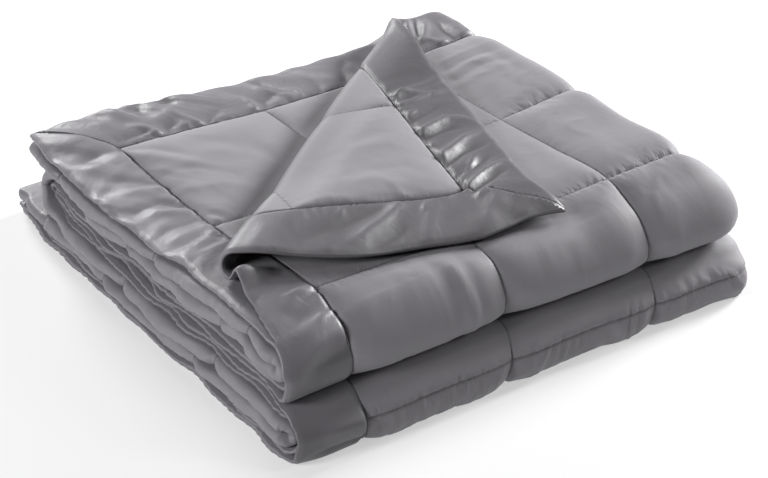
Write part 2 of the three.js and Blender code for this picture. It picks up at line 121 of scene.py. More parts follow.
# How far the lower fold stands out at the front: on its seams, and more in a box.
lowerFront = {0: 0, 60: 4, 120: 2, 187: -2, 290: 4, 393: -4, 496: 6, 560: 1, 600: 6}
lowerBox = {"out": 3.0, "power": 3.6, "from": 0.7, "over": 1.1, "floorOver": 0.6}

# How far the turned corner's free edges bow out: its left edge from the fold to the tip, and
# its head edge from the tip to the fold.
leftBow = {0: 0, 0.1: 19, 0.25: 26, 0.4: 25, 0.6: 14.5, 0.8: 11.5, 1: 10.8}
headBow = {0: 8.1, 0.05: 1, 0.12: -7, 0.25: -2.5, 0.45: 2.8, 0.65: 1, 0.85: 7, 1: 0}
# How far its left edge and the seam beside it hang forward, by distance from the tip.
flapSag = {0: 0, 40: 3, 70: 12, 106: 20, 170: 16, 260: 10, 340: 3, 426: 0}


def smooth(value):
    t = np.clip(value, 0.0, 1.0)
    return t * t * (3 - 2 * t)


def mix(a, b, t):
    return a + (b - a) * t


def bell(value):
    return np.exp(-(value ** 2))


def between(stations, values, place):
    # a smooth curve through all the values, level beyond both ends
    stations = np.array(stations, float)
    table = np.stack([np.broadcast_to(np.asarray(value, float), place.shape) for value in values])
    slopes = np.zeros_like(table)
    slopes[1:-1] = (table[2:] - table[:-2]) / (stations[2:] - stations[:-2])[:, None]
    index = np.searchsorted(stations[1:-1], place, side="left")
    span = stations[index + 1] - stations[index]
    t = np.clip((place - stations[index]) / span, 0.0, 1.0)
    pick = lambda rows, at: np.take_along_axis(rows, at[None], 0)[0]
    bend = t * (1 - t) * span * ((1 - t) * pick(slopes, index) - t * pick(slopes, index + 1))
    return mix(pick(table, index), pick(table, index + 1), smooth(t)) + bend


def curve(table, place):
    return between(list(table), table.values(), place)


sectionRuns = [
    rightTurn,  # first
    math.pi * outerTurn,  # outer crease
    rightTurn - leftTurn,  # second
    math.pi * innerTurn,  # left crease
    rightTurn - leftTurn,  # third
    math.pi * innerTurn,  # inner crease
    flatWide,  # fourth
]
lowerTurn = packThick
pathRuns = [
    headEnd - stack["upperTurn"],  # pass one
    math.pi * packHalf,  # upper fold
    stack["backTurn"] - stack["upperTurn"],  # pass two
    math.pi * packHalf,  # back fold
    stack["backTurn"] - lowerTurn,  # pass three
    math.pi * (packHalf + outerTurn),  # lower fold
    flatLong,  # pass four
]


def runStarts(lengths):
    return np.concatenate([[0.0], np.cumsum(lengths)[:-1]])


def runAt(lengths, distance):
    run = np.searchsorted(np.cumsum(lengths)[:-1], distance, side="left")
    return run, distance - runStarts(lengths)[run], np.array(lengths)[run]


def across(u):
    run, past, length = runAt(sectionRuns, u)
    turn = np.pi * past / length
    sine, cosine, one = np.sin(turn), np.cos(turn), np.ones_like(u)
    x = np.choose(run, [
        u, rightTurn + outerTurn * sine, rightTurn - past, leftTurn - innerTurn * sine,
        leftTurn + past, rightTurn + innerTurn * sine, rightTurn - past,
    ])
    h = np.choose(run, [
        outerTurn * one, outerTurn * cosine, -outerTurn * one, -pitch - innerTurn * cosine,
        -innerTurn * one, -innerTurn * cosine, innerTurn * one,
    ])
    nx = np.choose(run, [0 * one, sine, 0 * one, -sine, 0 * one, -sine, 0 * one])
    nh = np.choose(run, [one, cosine, -one, -cosine, one, cosine, -one])
    return {"run": run, "x": x, "h": h, "nx": nx, "nh": nh}


def along(v):
    run, past, length = runAt(pathRuns, v)
    angle = np.pi / 2 - np.pi * past / length
    out, up = np.cos(angle), np.sin(angle)
    power = stack["nosePower"]
    noseOut = np.where(up >= 0, out * (1 - stack["noseSlump"] * up), np.abs(out) ** power)
    noseUp = np.where(up >= 0, up, -(np.abs(up) ** power))
    zero, one = np.zeros_like(v), np.ones_like(v)
    y = np.choose(run, [
        headEnd - v, stack["upperTurn"] * one, stack["upperTurn"] + past, stack["backTurn"] * one,
        stack["backTurn"] - past, lowerTurn * one, lowerTurn + past,
    ])
    z = packThick * np.choose(run, [3 * one, 3 * one, 3 * one, 2 * one, 2 * one, one, one])
    dy = np.choose(run, [zero, -noseOut, zero, noseOut, zero, -noseOut, zero])
    dz = np.choose(run, [one, noseUp, -one, noseUp, -one, noseUp, -one])
    side = np.choose(run, [one, one, one, -one, -one, one, one])
    isFold = (run == 1) | (run == 3) | (run == 5)
    return {
        "run": run, "y": y, "z": z, "dy": dy, "dz": dz, "side": side,
        "angle": np.where(isFold, angle, 0),  # round a fold, from its top to its bottom
        "far": headEnd - v,
    }


foldSpan = math.hypot(corner["backX"], headEnd - corner["leftY"])
wayX = corner["backX"] / foldSpan
wayY = (headEnd - corner["leftY"]) / foldSpan


def fromFold(x, y):
    dy = y - corner["leftY"]
    length = x * wayX + dy * wayY
    beyond = -x * wayY + dy * wayX
    radius = mix(corner["rollLeft"], corner["rollBack"], np.clip(length / foldSpan, 0, 1))
    return length, beyond, radius


def pastRoll(x, y):
    length, beyond, radius = fromFold(x, y)
    return beyond + radius


def drawnIn(x, y):
    near = np.clip(1 - x / corner["drawAcross"], 0, 1)
    return x + corner["drawDepth"] * near * near * bell((y - corner["leftY"]) / corner["drawAlong"])


def bowed(x, y):
    def bow(table, distance, part):
        near = np.clip(1 - distance / corner["bowDepth"], 0, 1)
        return near * near * curve(table, np.clip(part, 0, 1))
    left = bow(leftBow, x, (y - corner["leftY"]) / (headEnd - corner["leftY"]))
    head = bow(headBow, headEnd - y, x / corner["backX"])
    sag = curve(flapSag, headEnd - y) * (1 - smooth((x - binding) / corner["sagFades"]))
    return x - left - sag, y + head


def turnedBack(x, y, z, off):
    length, beyond, radius = fromFold(x, y)
    past = beyond + radius
    rollEnd = np.pi * radius
    turn = np.pi * np.clip(past / rollEnd, 0, 1)
    settled = smooth((past - rollEnd) / corner["settles"])
    top = mix(2 * radius, corner["rise"], settled)
    top = top + corner["tipLift"] * smooth((past - corner["liftFrom"]) / corner["liftOver"])
    inRoll = past < rollEnd
    rise = np.where(inRoll, radius * (1 - np.cos(turn)), top)
    flat = np.where(inRoll, radius * np.sin(turn), rollEnd - past)
    past = flat - radius - off * np.sin(turn)
    flapX = length * wayX - past * wayY
    flapY = corner["leftY"] + length * wayY + past * wayX
    return flapX, flapY, z + rise + off * np.cos(turn)


# The left side, where edges and creases of all the layers show: how far the whole side is
# crumpled, how much each band waves by itself, and where bands are drawn in.
leftSide = {
    "reach": 60.0,
    "out": 0.9,
    "rise": 0.8,
    "calmFrom": 105.0,  # height from which the side is less crumpled
    "calmOver": 25.0,
    "bandReach": 34.0,
    "wave": 1.35,
    "waveSizes": (60, 220),
    "crinkle": 0.35,
    "crinkleSizes": (11, 30),
    "notch": 3.5,  # of a crease at each seam
    "notchHalf": 8.0,
    "slow": 3.0,
    "slowFades": 130.0,
}
# band (0 first section's edge, 1 crease, 2 fourth section's edge), middle, half length, depth
leftHollows = [
    (0, 1119, 60, 11),
    (2, 1119, 60, 11),
    (1, 571, 34, 9),
    (2, 571, 34, 7),
    (1, 1711, 40, 8),
    (2, 1711, 40, 7),
    (1, 1055, 60, 16),
    (1, 870, 24, 6),
    (1, 665, 20, 6),
    (0, 880, 40, 5),
    (2, 1950, 50, 5),
    (0, 1330, 50, 4),
]
# How far the inner layers of the top pass are tucked in at its back left.
tuck = {
    "by": 5.0,
    "behind": 470.0,
    "over": 132.0,
    "within": 80.0,
}
# How far the low right part spreads, and the low front is drawn back.
spreading = {
    "low": 75.0,  # height that it fades over
    "front": 150.0,
    "right": 14.0,
    "back": 18.0,
}


# Soft waves over a surface, from a fixed seed. way is the direction that they run in.
def ripples(x, y, seed, count, shortest, longest, way=0.0, spread=math.pi):
    chance = np.random.default_rng(seed)
    total = np.zeros_like(x)
    for _ in range(count):
        length = shortest * (longest / shortest) ** chance.random()
        angle = way + spread * (chance.random() - 0.5)
        phase = 2 * np.pi * chance.random()
        total = total + np.sin(2 * np.pi * (x * math.cos(angle) + y * math.sin(angle)) / length + phase)
    return total / math.sqrt(count / 2)


def lineRipples(run, seed, count, shortest, longest):
    return ripples(run, np.zeros_like(run), seed, count, shortest, longest, 0.0, 0.0)


def bandIn(u, v, run):
    side = leftSide
    band = np.choose(run, [0, 1, 1, 1, 1, 1, 2])
    total = np.zeros_like(v)
    for number in range(3):
        wave = side["wave"] * lineRipples(v, 81 + number, 6, *side["waveSizes"])
        wave += side["crinkle"] * lineRipples(v, 85 + number, 7, *side["crinkleSizes"])
        for which, middle, half, depth in leftHollows:
            if which == number:
                wave = wave + depth * np.exp(-(((v - middle) / half) ** 4))
        if number == 1:
            wave = wave + side["notch"] * bell(toSeam(v)[0] / side["notchHalf"])
        total = np.where(band == number, wave, total)
    return total


def settle(x, y, z):
    rows = [between(heightPlaces, heights, x) for heights in settledHeights.values()]
    height = between(list(settledHeights), rows, y)
    low = smooth((spreading["low"] - z) / spreading["low"])
    front = smooth((spreading["front"] - y) / spreading["front"])
    middle = smooth((x - binding) / boxSide)
    right = smooth((x - binding - 2 * boxSide) / (boxSide / 2))
    spread = low * (spreading["right"] * right - spreading["back"] * front * middle * (1 - right))
    side = leftSide
    edgeRows = [between(leftLevels, inwards, z) for inwards in leftEdges.values()]
    moved = between(list(leftEdges), edgeRows, y) + side["slow"] * np.sin(y / 97 + z / 23)
    moved = moved * (1 - smooth(x / side["slowFades"]))
    calm = 1 - 0.7 * smooth((z - side["calmFrom"]) / side["calmOver"])
    near = bell(np.maximum(x, 0) / side["reach"]) * calm
    out = side["out"] * ripples(y, 1.7 * z, 91, 7, 35, 120)
    rise = side["rise"] * ripples(y, 1.3 * z, 92, 7, 50, 160) * smooth(z / 30)
    return x + spread + moved + near * out, y, z * height / stackHeight + near * rise


# From 0 on a box's seams to 1 in its middle.
def inBox(distance, power):
    place = (distance - binding) / boxSide
    return 1 - np.abs(2 * (place - np.floor(place)) - 1) ** power


def crown(u, v, power):
    return inBox(u, power) * inBox(v, power)


def underFlap(x, y):
    length, beyond, radius = fromFold(x, y)
    mirrorX = length * wayX + beyond * wayY
    mirrorY = corner["leftY"] + length * wayY - beyond * wayX
    margin = corner["pressMargin"]
    return smooth((mirrorX + margin) / margin) * smooth((headEnd + margin - mirrorY) / margin)


# Where cloth comes into the open: angles round a fold, and distances from the turned fold.
opening = {
    "atAngle": 0.9,
    "overAngle": 0.8,
    "floorAngle": 1.45,
    "overFloor": 0.5,
    "besideFold": 14.0,
    "onFlap": 60.0,
    "over": 40.0,
}


def looseness(section, station, faceUp):
    # from 0 where the stack presses a face to 1 in the open
    x, y, angle = section["x"], station["y"], station["angle"]
    length, beyond, radius = fromFold(x, y)
    isFirst = section["run"] == 0
    onePass, upper, lower = station["run"] == 0, station["run"] == 1, station["run"] == 5
    if faceUp:
        side = np.where(isFirst, 1.0, (1 + section["nh"]) / 2) * (section["run"] < 2)
        covered = underFlap(x, station["far"])
        open1 = np.where(beyond + radius > 0, 0, 1 - covered)
        at, over = opening["atAngle"], opening["overAngle"]
        open2 = smooth((angle + at) / over) * (1 - covered)
        offFloor = smooth((angle + opening["floorAngle"]) / opening["overFloor"])
        open3 = smooth((at - angle) / over) * offFloor
        return side * (open1 * onePass + open2 * upper + open3 * lower)
    onFourth = (section["run"] == 6) * smooth((beyond - opening["besideFold"]) / opening["over"])
    onFlap = isFirst * smooth((beyond + radius - opening["onFlap"]) / opening["over"])
    return onePass * (onFourth + onFlap)


def frontOut(u, section, station):
    onOuter = (section["run"] <= 1) & (station["run"] == 5)
    box = inBox(u, lowerBox["power"]) * (u > binding)
    amount = curve(lowerFront, section["x"]) + lowerBox["out"] * box
    amount = amount * (1 + section["nh"]) / 2
    belowTop = smooth((lowerBox["from"] - station["angle"]) / lowerBox["over"])
    offFloor = smooth((station["angle"] + 1.571) / lowerBox["floorOver"])
    return onOuter * amount * belowTop * offFloor


def foldedPoint(u, v, off):
    section = across(u)
    station = along(v)
    isOuter = section["run"] == 1
    puff = curve(sidePuff, station["y"]) * crown(u, v, stack["sidePuffPower"])
    bulge = isOuter * (curve(sideOut, station["y"]) + puff)
    h = section["h"] + section["nh"] * off
    inside = (section["run"] >= 2) & (section["run"] <= 4) & (station["run"] == 0)
    tucked = inside * tuck["by"] * smooth((station["y"] - tuck["behind"]) / tuck["over"])
    tucked = tucked * (1 - smooth(section["x"] / tuck["within"]))
    x = section["x"] + section["nx"] * (off + bulge) + tucked
    reach = packHalf + station["side"] * h
    onTop = (section["run"] == 0) & (station["run"] == 0)
    y = station["y"] + station["dy"] * reach - frontOut(u, section, station)
    z = station["z"] + station["dz"] * reach
    x = np.where(onTop, drawnIn(x, station["y"]), x)
    rolled = onTop & (pastRoll(x, station["y"]) > 0)
    middle = station["z"] + packHalf + section["h"]
    z = np.where(onTop, middle + off, z)
    bowX, bowY = bowed(x, station["y"])
    flapX, flapY, flapZ = turnedBack(bowX, bowY, middle, off)
    x = np.where(rolled, flapX, x)
    y = np.where(rolled, flapY, y)
    z = np.where(rolled, flapZ, z)
    nearLeft = bell(np.maximum(x, 0) / leftSide["bandReach"]) * (1 - rolled)
    x = x + nearLeft * bandIn(u, v, section["run"])
    return np.stack(settle(x, y, z), -1)


# The eighth row of stitches lies early, so that it shows on the lower fold.
rowShift = 23.0
rowLines = binding + boxSide * np.arange(-1, 14)
rowsSewn = rowLines - rowShift * (np.arange(-1, 14) == 8)


def toSeam(distance):
    # signed distance to the nearest quilting seam, and that seam's number
    place = (distance - binding) / boxSide
    nearest = np.round(place)
    return (place - nearest) * boxSide, nearest


# Creases placed on the sheet: half width, height (a trough is below zero), and then
# the places that the crease passes.
frontPanelCreases = [
    (6, 1.3, (531, 122), (568, 128), (601, 130)),
    (5, -1.2, (522, 142), (559, 144), (595, 152)),
    (6, 1.3, (520, 158), (545, 154), (593, 164)),
    (5, -1.0, (515, 172), (555, 170), (596, 183)),
    (7, 1.0, (511, 188), (556, 189), (597, 199)),
]
frontBindingCreases = [
    (5, 2.4, (83, 499), (63, 498), (40, 497)),
    (4, 1.6, (85, 512), (75, 506), (59, 504)),
    (5, 1.8, (80, 538), (66, 540), (52, 543)),
    (9, 4.2, (84, 554), (60, 554), (38, 557), (22, 561)),
    (7, -4.6, (84, 566), (58, 567), (33, 569), (20, 571)),
    (14, -1.6, (24, 513), (40, 532), (67, 534)),
    (11, 4.4, (84, 1711), (60, 1705), (25, 1707)),
    (9, -4.0, (80, 1727), (50, 1723), (20, 1723)),
    (5, 3.0, (539, 50), (549, 24), (563, 2)),
    (6, 3.2, (544, 60), (569, 36), (580, 10)),
    (6, -3.0, (548, 48), (560, 24), (572, 4)),
    (4, 2.4, (563, 80), (556, 66), (548, 58)),
    (4, 2.2, (598, 80), (596, 60), (600, 40)),
    (6, -2.0, (582, 80), (584, 50), (592, 24)),
    (4, 1.8, (565, 86), (569, 77), (569, 67)),
]
backPanelCreases = [
    (5, 1.6, (108, 162), (91, 158), (76, 138)),
    (4, -1.6, (90, 193), (88, 178), (86, 161)),
    (9, 1.2, (124, 215), (122, 179), (106, 149)),
    (6, 1.6, (88, 278), (96, 253), (90, 217)),
    (9, -1.1, (138, 180), (143, 134), (116, 108)),
    (10, 1.1, (191, 178), (188, 130), (173, 98)),
    (6, -1.8, (2348, 88), (2315, 121), (2284, 159)),
    (9, 1.8, (2345, 110), (2317, 146), (2269, 202)),
    (9, -1.4, (2330, 168), (2296, 180), (2265, 217)),
    (10, 1.4, (2331, 213), (2291, 225), (2257, 259)),
    (4, 1.6, (2343, 283), (2327, 296), (2320, 313)),
    (4, -1.6, (2340, 266), (2324, 283)),
    (7, 1.4, (2337, 157), (2326, 171), (2318, 194)),
]
backBindingCreases = [
    (9, -3.0, (2358, 89), (2392, 93), (2419, 97)),
    (10, 2.6, (2352, 107), (2390, 119), (2421, 121)),
    (8, -2.6, (2358, 176), (2383, 156), (2409, 147)),
    (10, 2.8, (2356, 192), (2394, 185), (2421, 180)),
    (7, -3.4, (2355, 236), (2378, 217), (2416, 222)),
    (7, 2.6, (2354, 252), (2395, 238), (2420, 241)),
    (8, -2.0, (2362, 272), (2400, 276), (2432, 285)),
    (8, 2.2, (2356, 290), (2397, 297), (2425, 306)),
    (9, -2.4, (2354, 314), (2384, 314), (2422, 321)),
    (9, 2.0, (2362, 340), (2404, 344), (2430, 349)),
    (3, 1.4, (2354, 196), (2367, 188)),
    (3, 1.4, (2354, 219), (2367, 207)),
    (3, 1.5, (2354, 293), (2368, 281)),
    (3, 1.6, (2354, 311), (2370, 299)),
    (3, 1.7, (2354, 327), (2374, 320)),
    (5, 3.0, (2292, 82), (2296, 66), (2315, 52)),
    (9, -2.8, (2276, 82), (2275, 70), (2255, 62)),
    (5, 3.0, (2233, 82), (2242, 66), (2258, 42)),
    (8, -2.6, (2221, 82), (2212, 70), (2193, 62)),
    (4, 3.0, (2154, 82), (2151, 66), (2152, 46)),
    (9, -3.2, (2137, 82), (2134, 66), (2110, 58)),
    (6, 3.0, (2100, 72), (2119, 41), (2126, 11)),
    (4, 2.6, (2085, 80), (2083, 62), (2093, 50)),
    (6, -2.6, (2100, 58), (2108, 34), (2115, 8)),
    (9, -2.2, (2062, 82), (2051, 62), (2060, 37)),
    (9, 2.6, (2032, 62), (2042, 34), (2059, 13)),
    (8, -2.6, (2016, 73), (2003, 42), (1980, 20)),
    (10, 2.2, (2158, 51), (2171, 20), (2189, 8)),
    (9, 1.8, (2291, 54), (2254, 43), (2227, 23)),
    (10, 1.8, (2348, 34), (2313, 25), (2269, 22)),
    (7, -2.6, (2345, 73), (2313, 71), (2294, 63)),
    (3, 1.8, (306, 76), (316, 66), (322, 55)),
    (5, 3.2, (315, 66), (308, 45), (306, 26), (314, 5)),
    (4, 2.6, (286, 80), (292, 60), (305, 34)),
    (3, 2.0, (257, 82), (270, 64)),
    (6, 3.8, (216, 82), (226, 62), (241, 38), (239, 20), (228, 6)),
    (8, -2.8, (243, 80), (259, 55), (276, 27)),
    (3, 2.0, (183, 82), (187, 68)),
    (9, -3.2, (200, 80), (217, 48), (219, 22)),
    (7, 4.4, (156, 82), (166, 60), (187, 34), (202, 8)),
    (8, -3.2, (137, 80), (159, 45), (165, 14)),
    (3, 1.8, (130, 82), (139, 70)),
    (5, 2.8, (102, 82), (117, 59), (147, 35)),
    (7, -2.6, (110, 78), (118, 51), (133, 21)),
    (5, 4.0, (84, 82), (98, 48), (111, 19), (115, 4)),
    (6, -3.2, (72, 78), (80, 52), (89, 21)),
    (5, 3.4, (60, 74), (62, 62), (66, 45), (68, 26)),
    (14, -1.6, (353, 66), (361, 38), (370, 9)),
    (9, 3.8, (70, 170), (44, 200), (22, 238), (12, 262)),
    (13, -3.0, (66, 195), (50, 234), (36, 275), (21, 305)),
    (12, 2.5, (48, 335), (18, 357), (4, 369)),
    (12, -1.5, (50, 308), (18, 329), (3, 331)),
    (10, -2.4, (24, 184), (10, 215), (5, 243)),
    (16, 2.0, (60, 130), (25, 154), (5, 170)),
    (14, 2.2, (44, 62), (20, 86), (3, 100)),
    (14, -2.4, (26, 44), (12, 57), (2, 65)),
    (3, 1.8, (70, 138), (52, 150)),
    (3, 1.6, (74, 236), (60, 246)),
    (10, -5.5, (2278, -2), (2284, 28)),
    (10, -5.5, (2238, -2), (2244, 26)),
    (14, 4.0, (2318, -2), (2312, 24)),
]


def creased(u, v, table):
    total = np.zeros_like(u)
    for wide, high, *way in table:
        way = np.array(way, float)
        low, top = way.min(0) - 3 * wide, way.max(0) + 3 * wide
        near = (u > low[0]) & (u < top[0]) & (v > low[1]) & (v < top[1])
        if not near.any():
            continue
        steps = np.diff(way, axis=0)
        lengths = np.hypot(steps[:, 0], steps[:, 1])
        away = np.full(near.sum(), 1e9)
        place = np.zeros_like(away)
        passed = 0.0
        for start, step, length in zip(way[:-1], steps, lengths):
            pastU, pastV = u[near] - start[0], v[near] - start[1]
            t = np.clip((pastU * step[0] + pastV * step[1]) / length ** 2, 0, 1)
            here = np.hypot(pastU - t * step[0], pastV - t * step[1])
            place = np.where(here < away, passed + t * length, place)
            away = np.minimum(away, here)
            passed += length
        place = place / passed
        height = high * smooth((1.2 - place) / 0.6) * smooth((place + 0.3) / 0.4)
        total[near] += height * np.exp(-((away / wide) ** 1.5))
    return total


pleatShape = {
    "lean": 0.35,
    "leanSizes": (40, 130),
    "uneven": 0.45,
    "crest": 1.6,
    "heights": (0.6, 0.05, 1.6),  # usual, least and most
    "reaches": (0.8, 0.25, 2),
    "start": 1.2,
}


# Short folds that leave a seam: sharp troughs between round crests, uneven along the seam.
def pleats(run, away, seed, spacing, reach):
    shape = pleatShape
    lean = run + away * shape["lean"] * lineRipples(run, seed, 4, *shape["leanSizes"])
    def uneven(number, shortest, longest):
        wave = lineRipples(lean, seed + number, 6, shortest * spacing, longest * spacing)
        return shape["uneven"] * wave
    crest = shape["crest"] * np.abs(np.sin(np.pi * (lean / spacing + uneven(1, 2.2, 7)))) - 1
    usual, least, most = shape["heights"]
    height = np.clip(usual + uneven(2, 2.5, 9), least, most)
    usual, least, most = shape["reaches"]
    far = reach * np.clip(usual + uneven(3, 2, 8), least, most)
    return crest * height * np.exp(-away / far) * (1 - np.exp(-away / shape["start"]))


panelForm = {
    "seamHalf": 1.2,  # half the thickness on a seam
    "puffHalf": 2.6,  # and how much more in the middle of a pressed box
    "puffPower": 5.0,
    "groove": 3.9,  # how far a loose box rises from its seams at once
    "grooveAlong": 6.5,
    "grooveAcross": 5.0,
    "shoulder": 3.8,  # how much more within its width
    "shoulderWidth": 21.0,
    "dome": 2.0,
    "domePower": 2.2,
    "gathers": 2.0,  # height of the pinches on the seams across
    "sideGathers": 0.9,  # and on the seams along
    "spacing": 8.0,
    "reach": 6.0,
    "longGathers": 0.8,
    "longSideGathers": 0.5,
    "longSpacing": 31.0,
    "longReach": 26.0,
    "upperFold": 0.85,  # how much the upper fold pulls the long ones flat
    "lowerGathers": 0.8,
    "lowerSpacing": 15.0,
    "creaseRipple": 0.55,  # on the left crease
    "wrinkle": 0.8,
    "wrinkleSizes": (45, 140),
    "wrinkleWay": (0.5, 1.6),  # direction and spread
    "warp": 12.0,
    "warpSizes": (90, 200),
    "patchSizes": (120, 260),  # of the parts that are wrinkled more
    "shallow": 0.65,  # how much of its groove the row of stitches on the lower fold lacks
    "crumple": 0.8,  # small creases there
    "stitched": 0.7,  # depth of the stitched line itself
    "stitchedHalf": 1.6,
    "handFrom": 6.0,  # where the listed creases begin beside a seam
}


def panelOff(u, v, section, station, faceUp):
    form = panelForm
    sheetV = v
    v = np.interp(v, rowsSewn, rowLines)
    free = looseness(section, station, faceUp)
    awayU, seamU = toSeam(u)
    awayV, seamV = toSeam(v)
    awayU, awayV = np.abs(awayU), np.abs(awayV)
    pressed = form["seamHalf"] + form["puffHalf"] * crown(u, v, form["puffPower"])
    level = np.cos(station["angle"]) ** 2
    onLower = (station["run"] == 5) * level
    shallow = 1 - form["shallow"] * onLower
    grooved = 1 - np.exp(-awayU / form["grooveAcross"])
    narrow = grooved * (1 - shallow * np.exp(-awayV / form["grooveAlong"]))
    wide = form["shoulderWidth"]
    shoulder = (1 - bell(awayU / wide)) * (1 - shallow * bell(awayV / wide))
    loose = form["seamHalf"] + form["groove"] * narrow + form["shoulder"] * shoulder
    loose = loose + form["dome"] * crown(u, v, form["domePower"])
    seed = 3 if faceUp else 11
    def onAcross(apart, number, spacing, reach):
        return pleats(u + apart * 7.3 * seamV, awayV, seed + number, spacing, reach)
    def onAlong(apart, number, spacing, reach):
        return pleats(v + apart * 5.9 * seamU, awayU, seed + number, spacing, reach)
    short = (form["spacing"], form["reach"])
    long = (form["longSpacing"], form["longReach"])
    gathers = form["gathers"] * onAcross(97, 0, *short)
    gathers += form["sideGathers"] * onAlong(89, 4, *short)
    byFold = 1 - form["upperFold"] * level * (station["run"] == 1) + onLower
    gathers += form["longGathers"] * byFold * onAcross(71, 8, *long)
    gathers += form["longSideGathers"] * byFold * onAlong(61, 12, *long)
    gathers += form["lowerGathers"] * onLower * onAcross(53, 16, form["lowerSpacing"], form["lowerSpacing"])
    crumpled = 0.4 * ripples(u, v, seed + 30, 12, 11, 36)
    crumpled = crumpled + 0.9 * bell(ripples(u, v, seed + 31, 9, 26, 80) / 0.3)
    pinned = (1 - np.exp(-awayU / 3)) * (1 - np.exp(-awayV / 1.5))
    warpU = u + form["warp"] * ripples(u, v, seed + 20, 5, *form["warpSizes"])
    warpV = v + form["warp"] * ripples(u, v, seed + 21, 5, *form["warpSizes"])
    soft = ripples(warpU, warpV, seed + 22, 10, *form["wrinkleSizes"], *form["wrinkleWay"])
    sharp = bell(soft / 0.35) * smooth(0.5 + ripples(u, v, seed + 23, 5, *form["patchSizes"]))
    waves = crown(u, v, form["puffPower"]) * form["wrinkle"] * (0.6 * soft + 0.9 * sharp)
    small = pinned * (gathers + onLower * form["crumple"] * crumpled)
    off = mix(pressed, loose, free) + free * (small + waves)
    atCrease = (section["run"] == 3) * section["nx"] ** 2
    ripple = form["creaseRipple"] * ripples(v, 2 * u, seed + 24, 8, 9, 60)
    off = off + atCrease * (pinned * gathers + ripple)
    off = off - free * form["stitched"] * bell(np.minimum(awayU, awayV) / form["stitchedHalf"])
    hand = creased(u, sheetV, frontPanelCreases if faceUp else backPanelCreases)
    return off + hand * smooth(awayV / form["handFrom"]) * smooth(awayU / form["handFrom"])


def fromEdges(u, v):
    return np.minimum(u, flatWide - u), np.minimum(v, flatLong - v)


bindingForm = {
    "half": 3.3,
    "lipHalf": 1.6,  # at its outer edge
    "lipDepth": 6.0,
    "sewnHalf": 1.2,  # and at its sewn edge
    "pinch": 8.0,
    "rise": 2.4,
    "fold": 0.8,
    "foldSizes": (26, 70),
    "slant": 0.55,
    "sway": 9.0,
    "gathers": 1.9,
    "longGathers": 0.9,
    "longer": 2.6,
    "spacing": 11.0,
    "reach": 9.0,
    "edgeWave": 3.0,
    "edgeReach": 60.0,
    "droop": 3.0,  # of the turned corner's edges
    "flapMitre": 0.5,  # rise of its mitre between both ends
    "mitre": 5.0,  # and of the mitre at the stack's back left
    "mitreHalf": 32.0,
    "loop": 21.0,  # rise of the edge inside the end of the roll
    "loopAt": 446.0,
    "loopHalf": 13.0,
    "loopFrom": 70.0,
    "loopOver": 60.0,
    "hand": 1.4,  # how high the creases stand on the face side
    "handBack": 1.2,
}


def bindingOff(u, v, section, station, faceUp):
    form = bindingForm
    fromSide, fromEnd = fromEdges(u, v)
    depth = np.minimum(fromSide, fromEnd)
    run = np.where(fromSide < fromEnd, v, u)
    inward = binding - depth
    atLip = mix(form["lipHalf"], form["half"], smooth(depth / form["lipDepth"]))
    toInner = smooth(inward / form["pinch"])
    off = mix(form["sewnHalf"], atLip, toInner)
    free = looseness(section, station, faceUp)
    seed = 40 + 5 * faceUp
    middle = np.sin(np.pi * np.clip(depth / binding, 0, 1)) ** 0.7
    lean = run + form["slant"] * depth + form["sway"] * ripples(run, depth, seed, 5, 70, 160)
    folds = lineRipples(lean, seed + 1, 7, *form["foldSizes"])
    folds = folds * (0.55 + 0.45 * ripples(run, depth, seed + 2, 4, 120, 300))
    spacing, gatherReach, longer = form["spacing"], form["reach"], form["longer"]
    small = form["gathers"] * pleats(run, inward, seed + 3, spacing, gatherReach)
    long = form["longGathers"] * pleats(run + 40, inward, seed + 7, longer * spacing, longer * gatherReach)
    reach = toInner * smooth(depth / 12 + 0.25)
    detail = form["rise"] * middle + reach * form["fold"] * folds + (small + long) * smooth(depth / 14)
    hand = creased(u, v, frontBindingCreases if faceUp else backBindingCreases)
    hand = hand * form["hand" if faceUp else "handBack"]
    return off + free * detail + smooth(inward / 5) * smooth(depth / 5 + 0.35) * hand


# How far a binding's middle lies above the sheet's own, towards its face side: the waves of
# open edges, the turned corner's drooping edges, the mitres and the loop in the roll's end.
def bindingMiddle(u, v, section, station):
    form = bindingForm
    fromSide, fromEnd = fromEdges(u, v)
    depth = np.minimum(fromSide, fromEnd)
    free = looseness(section, station, False)
    wave = 0.5 + 0.5 * np.clip(0.8 * lineRipples(u + v, 71, 6, 45, 120), -1, 1)
    outer = smooth((binding - depth) / form["edgeReach"])
    isFlap = section["run"] == 0
    edge = np.where(isFlap, form["droop"], -form["edgeWave"] * wave) * outer
    high = np.where(isFlap, form["flapMitre"], form["mitre"])
    ridge = high * np.sin(np.pi * np.clip(depth / binding, 0, 1))
    ridge = ridge * bell((fromSide - fromEnd) / form["mitreHalf"])
    loop = form["loop"] * bell((v - form["loopAt"]) / form["loopHalf"])
    loop = loop * smooth((form["loopFrom"] - u) / form["loopOver"]) * (u < binding)
    return free * (edge - ridge) + loop


def inRow(points):
    # from millimetres in the stack to metres in the row
    return (np.asarray(points) + np.array(sheet["stackToRow"])) * 0.001


def faceOff(u, v, isPanel, faceUp):
    section = across(u)
    station = along(v)
    off = (panelOff if isPanel else bindingOff)(u, v, section, station, faceUp)
    if faceUp:
        onFloor = (section["run"] == 0) & (station["run"] == 6)
        off = np.where(onFloor, pitch / 2, off)
        turning = (station["run"] == 5) & (station["dz"] < 0)
        room = packThick / np.maximum(-station["dz"], 1e-6) - (packHalf + section["h"])
        off = np.where(turning, np.minimum(off, np.maximum(room, 0)), off)
    return np.maximum(off, sheet["thinnest"])


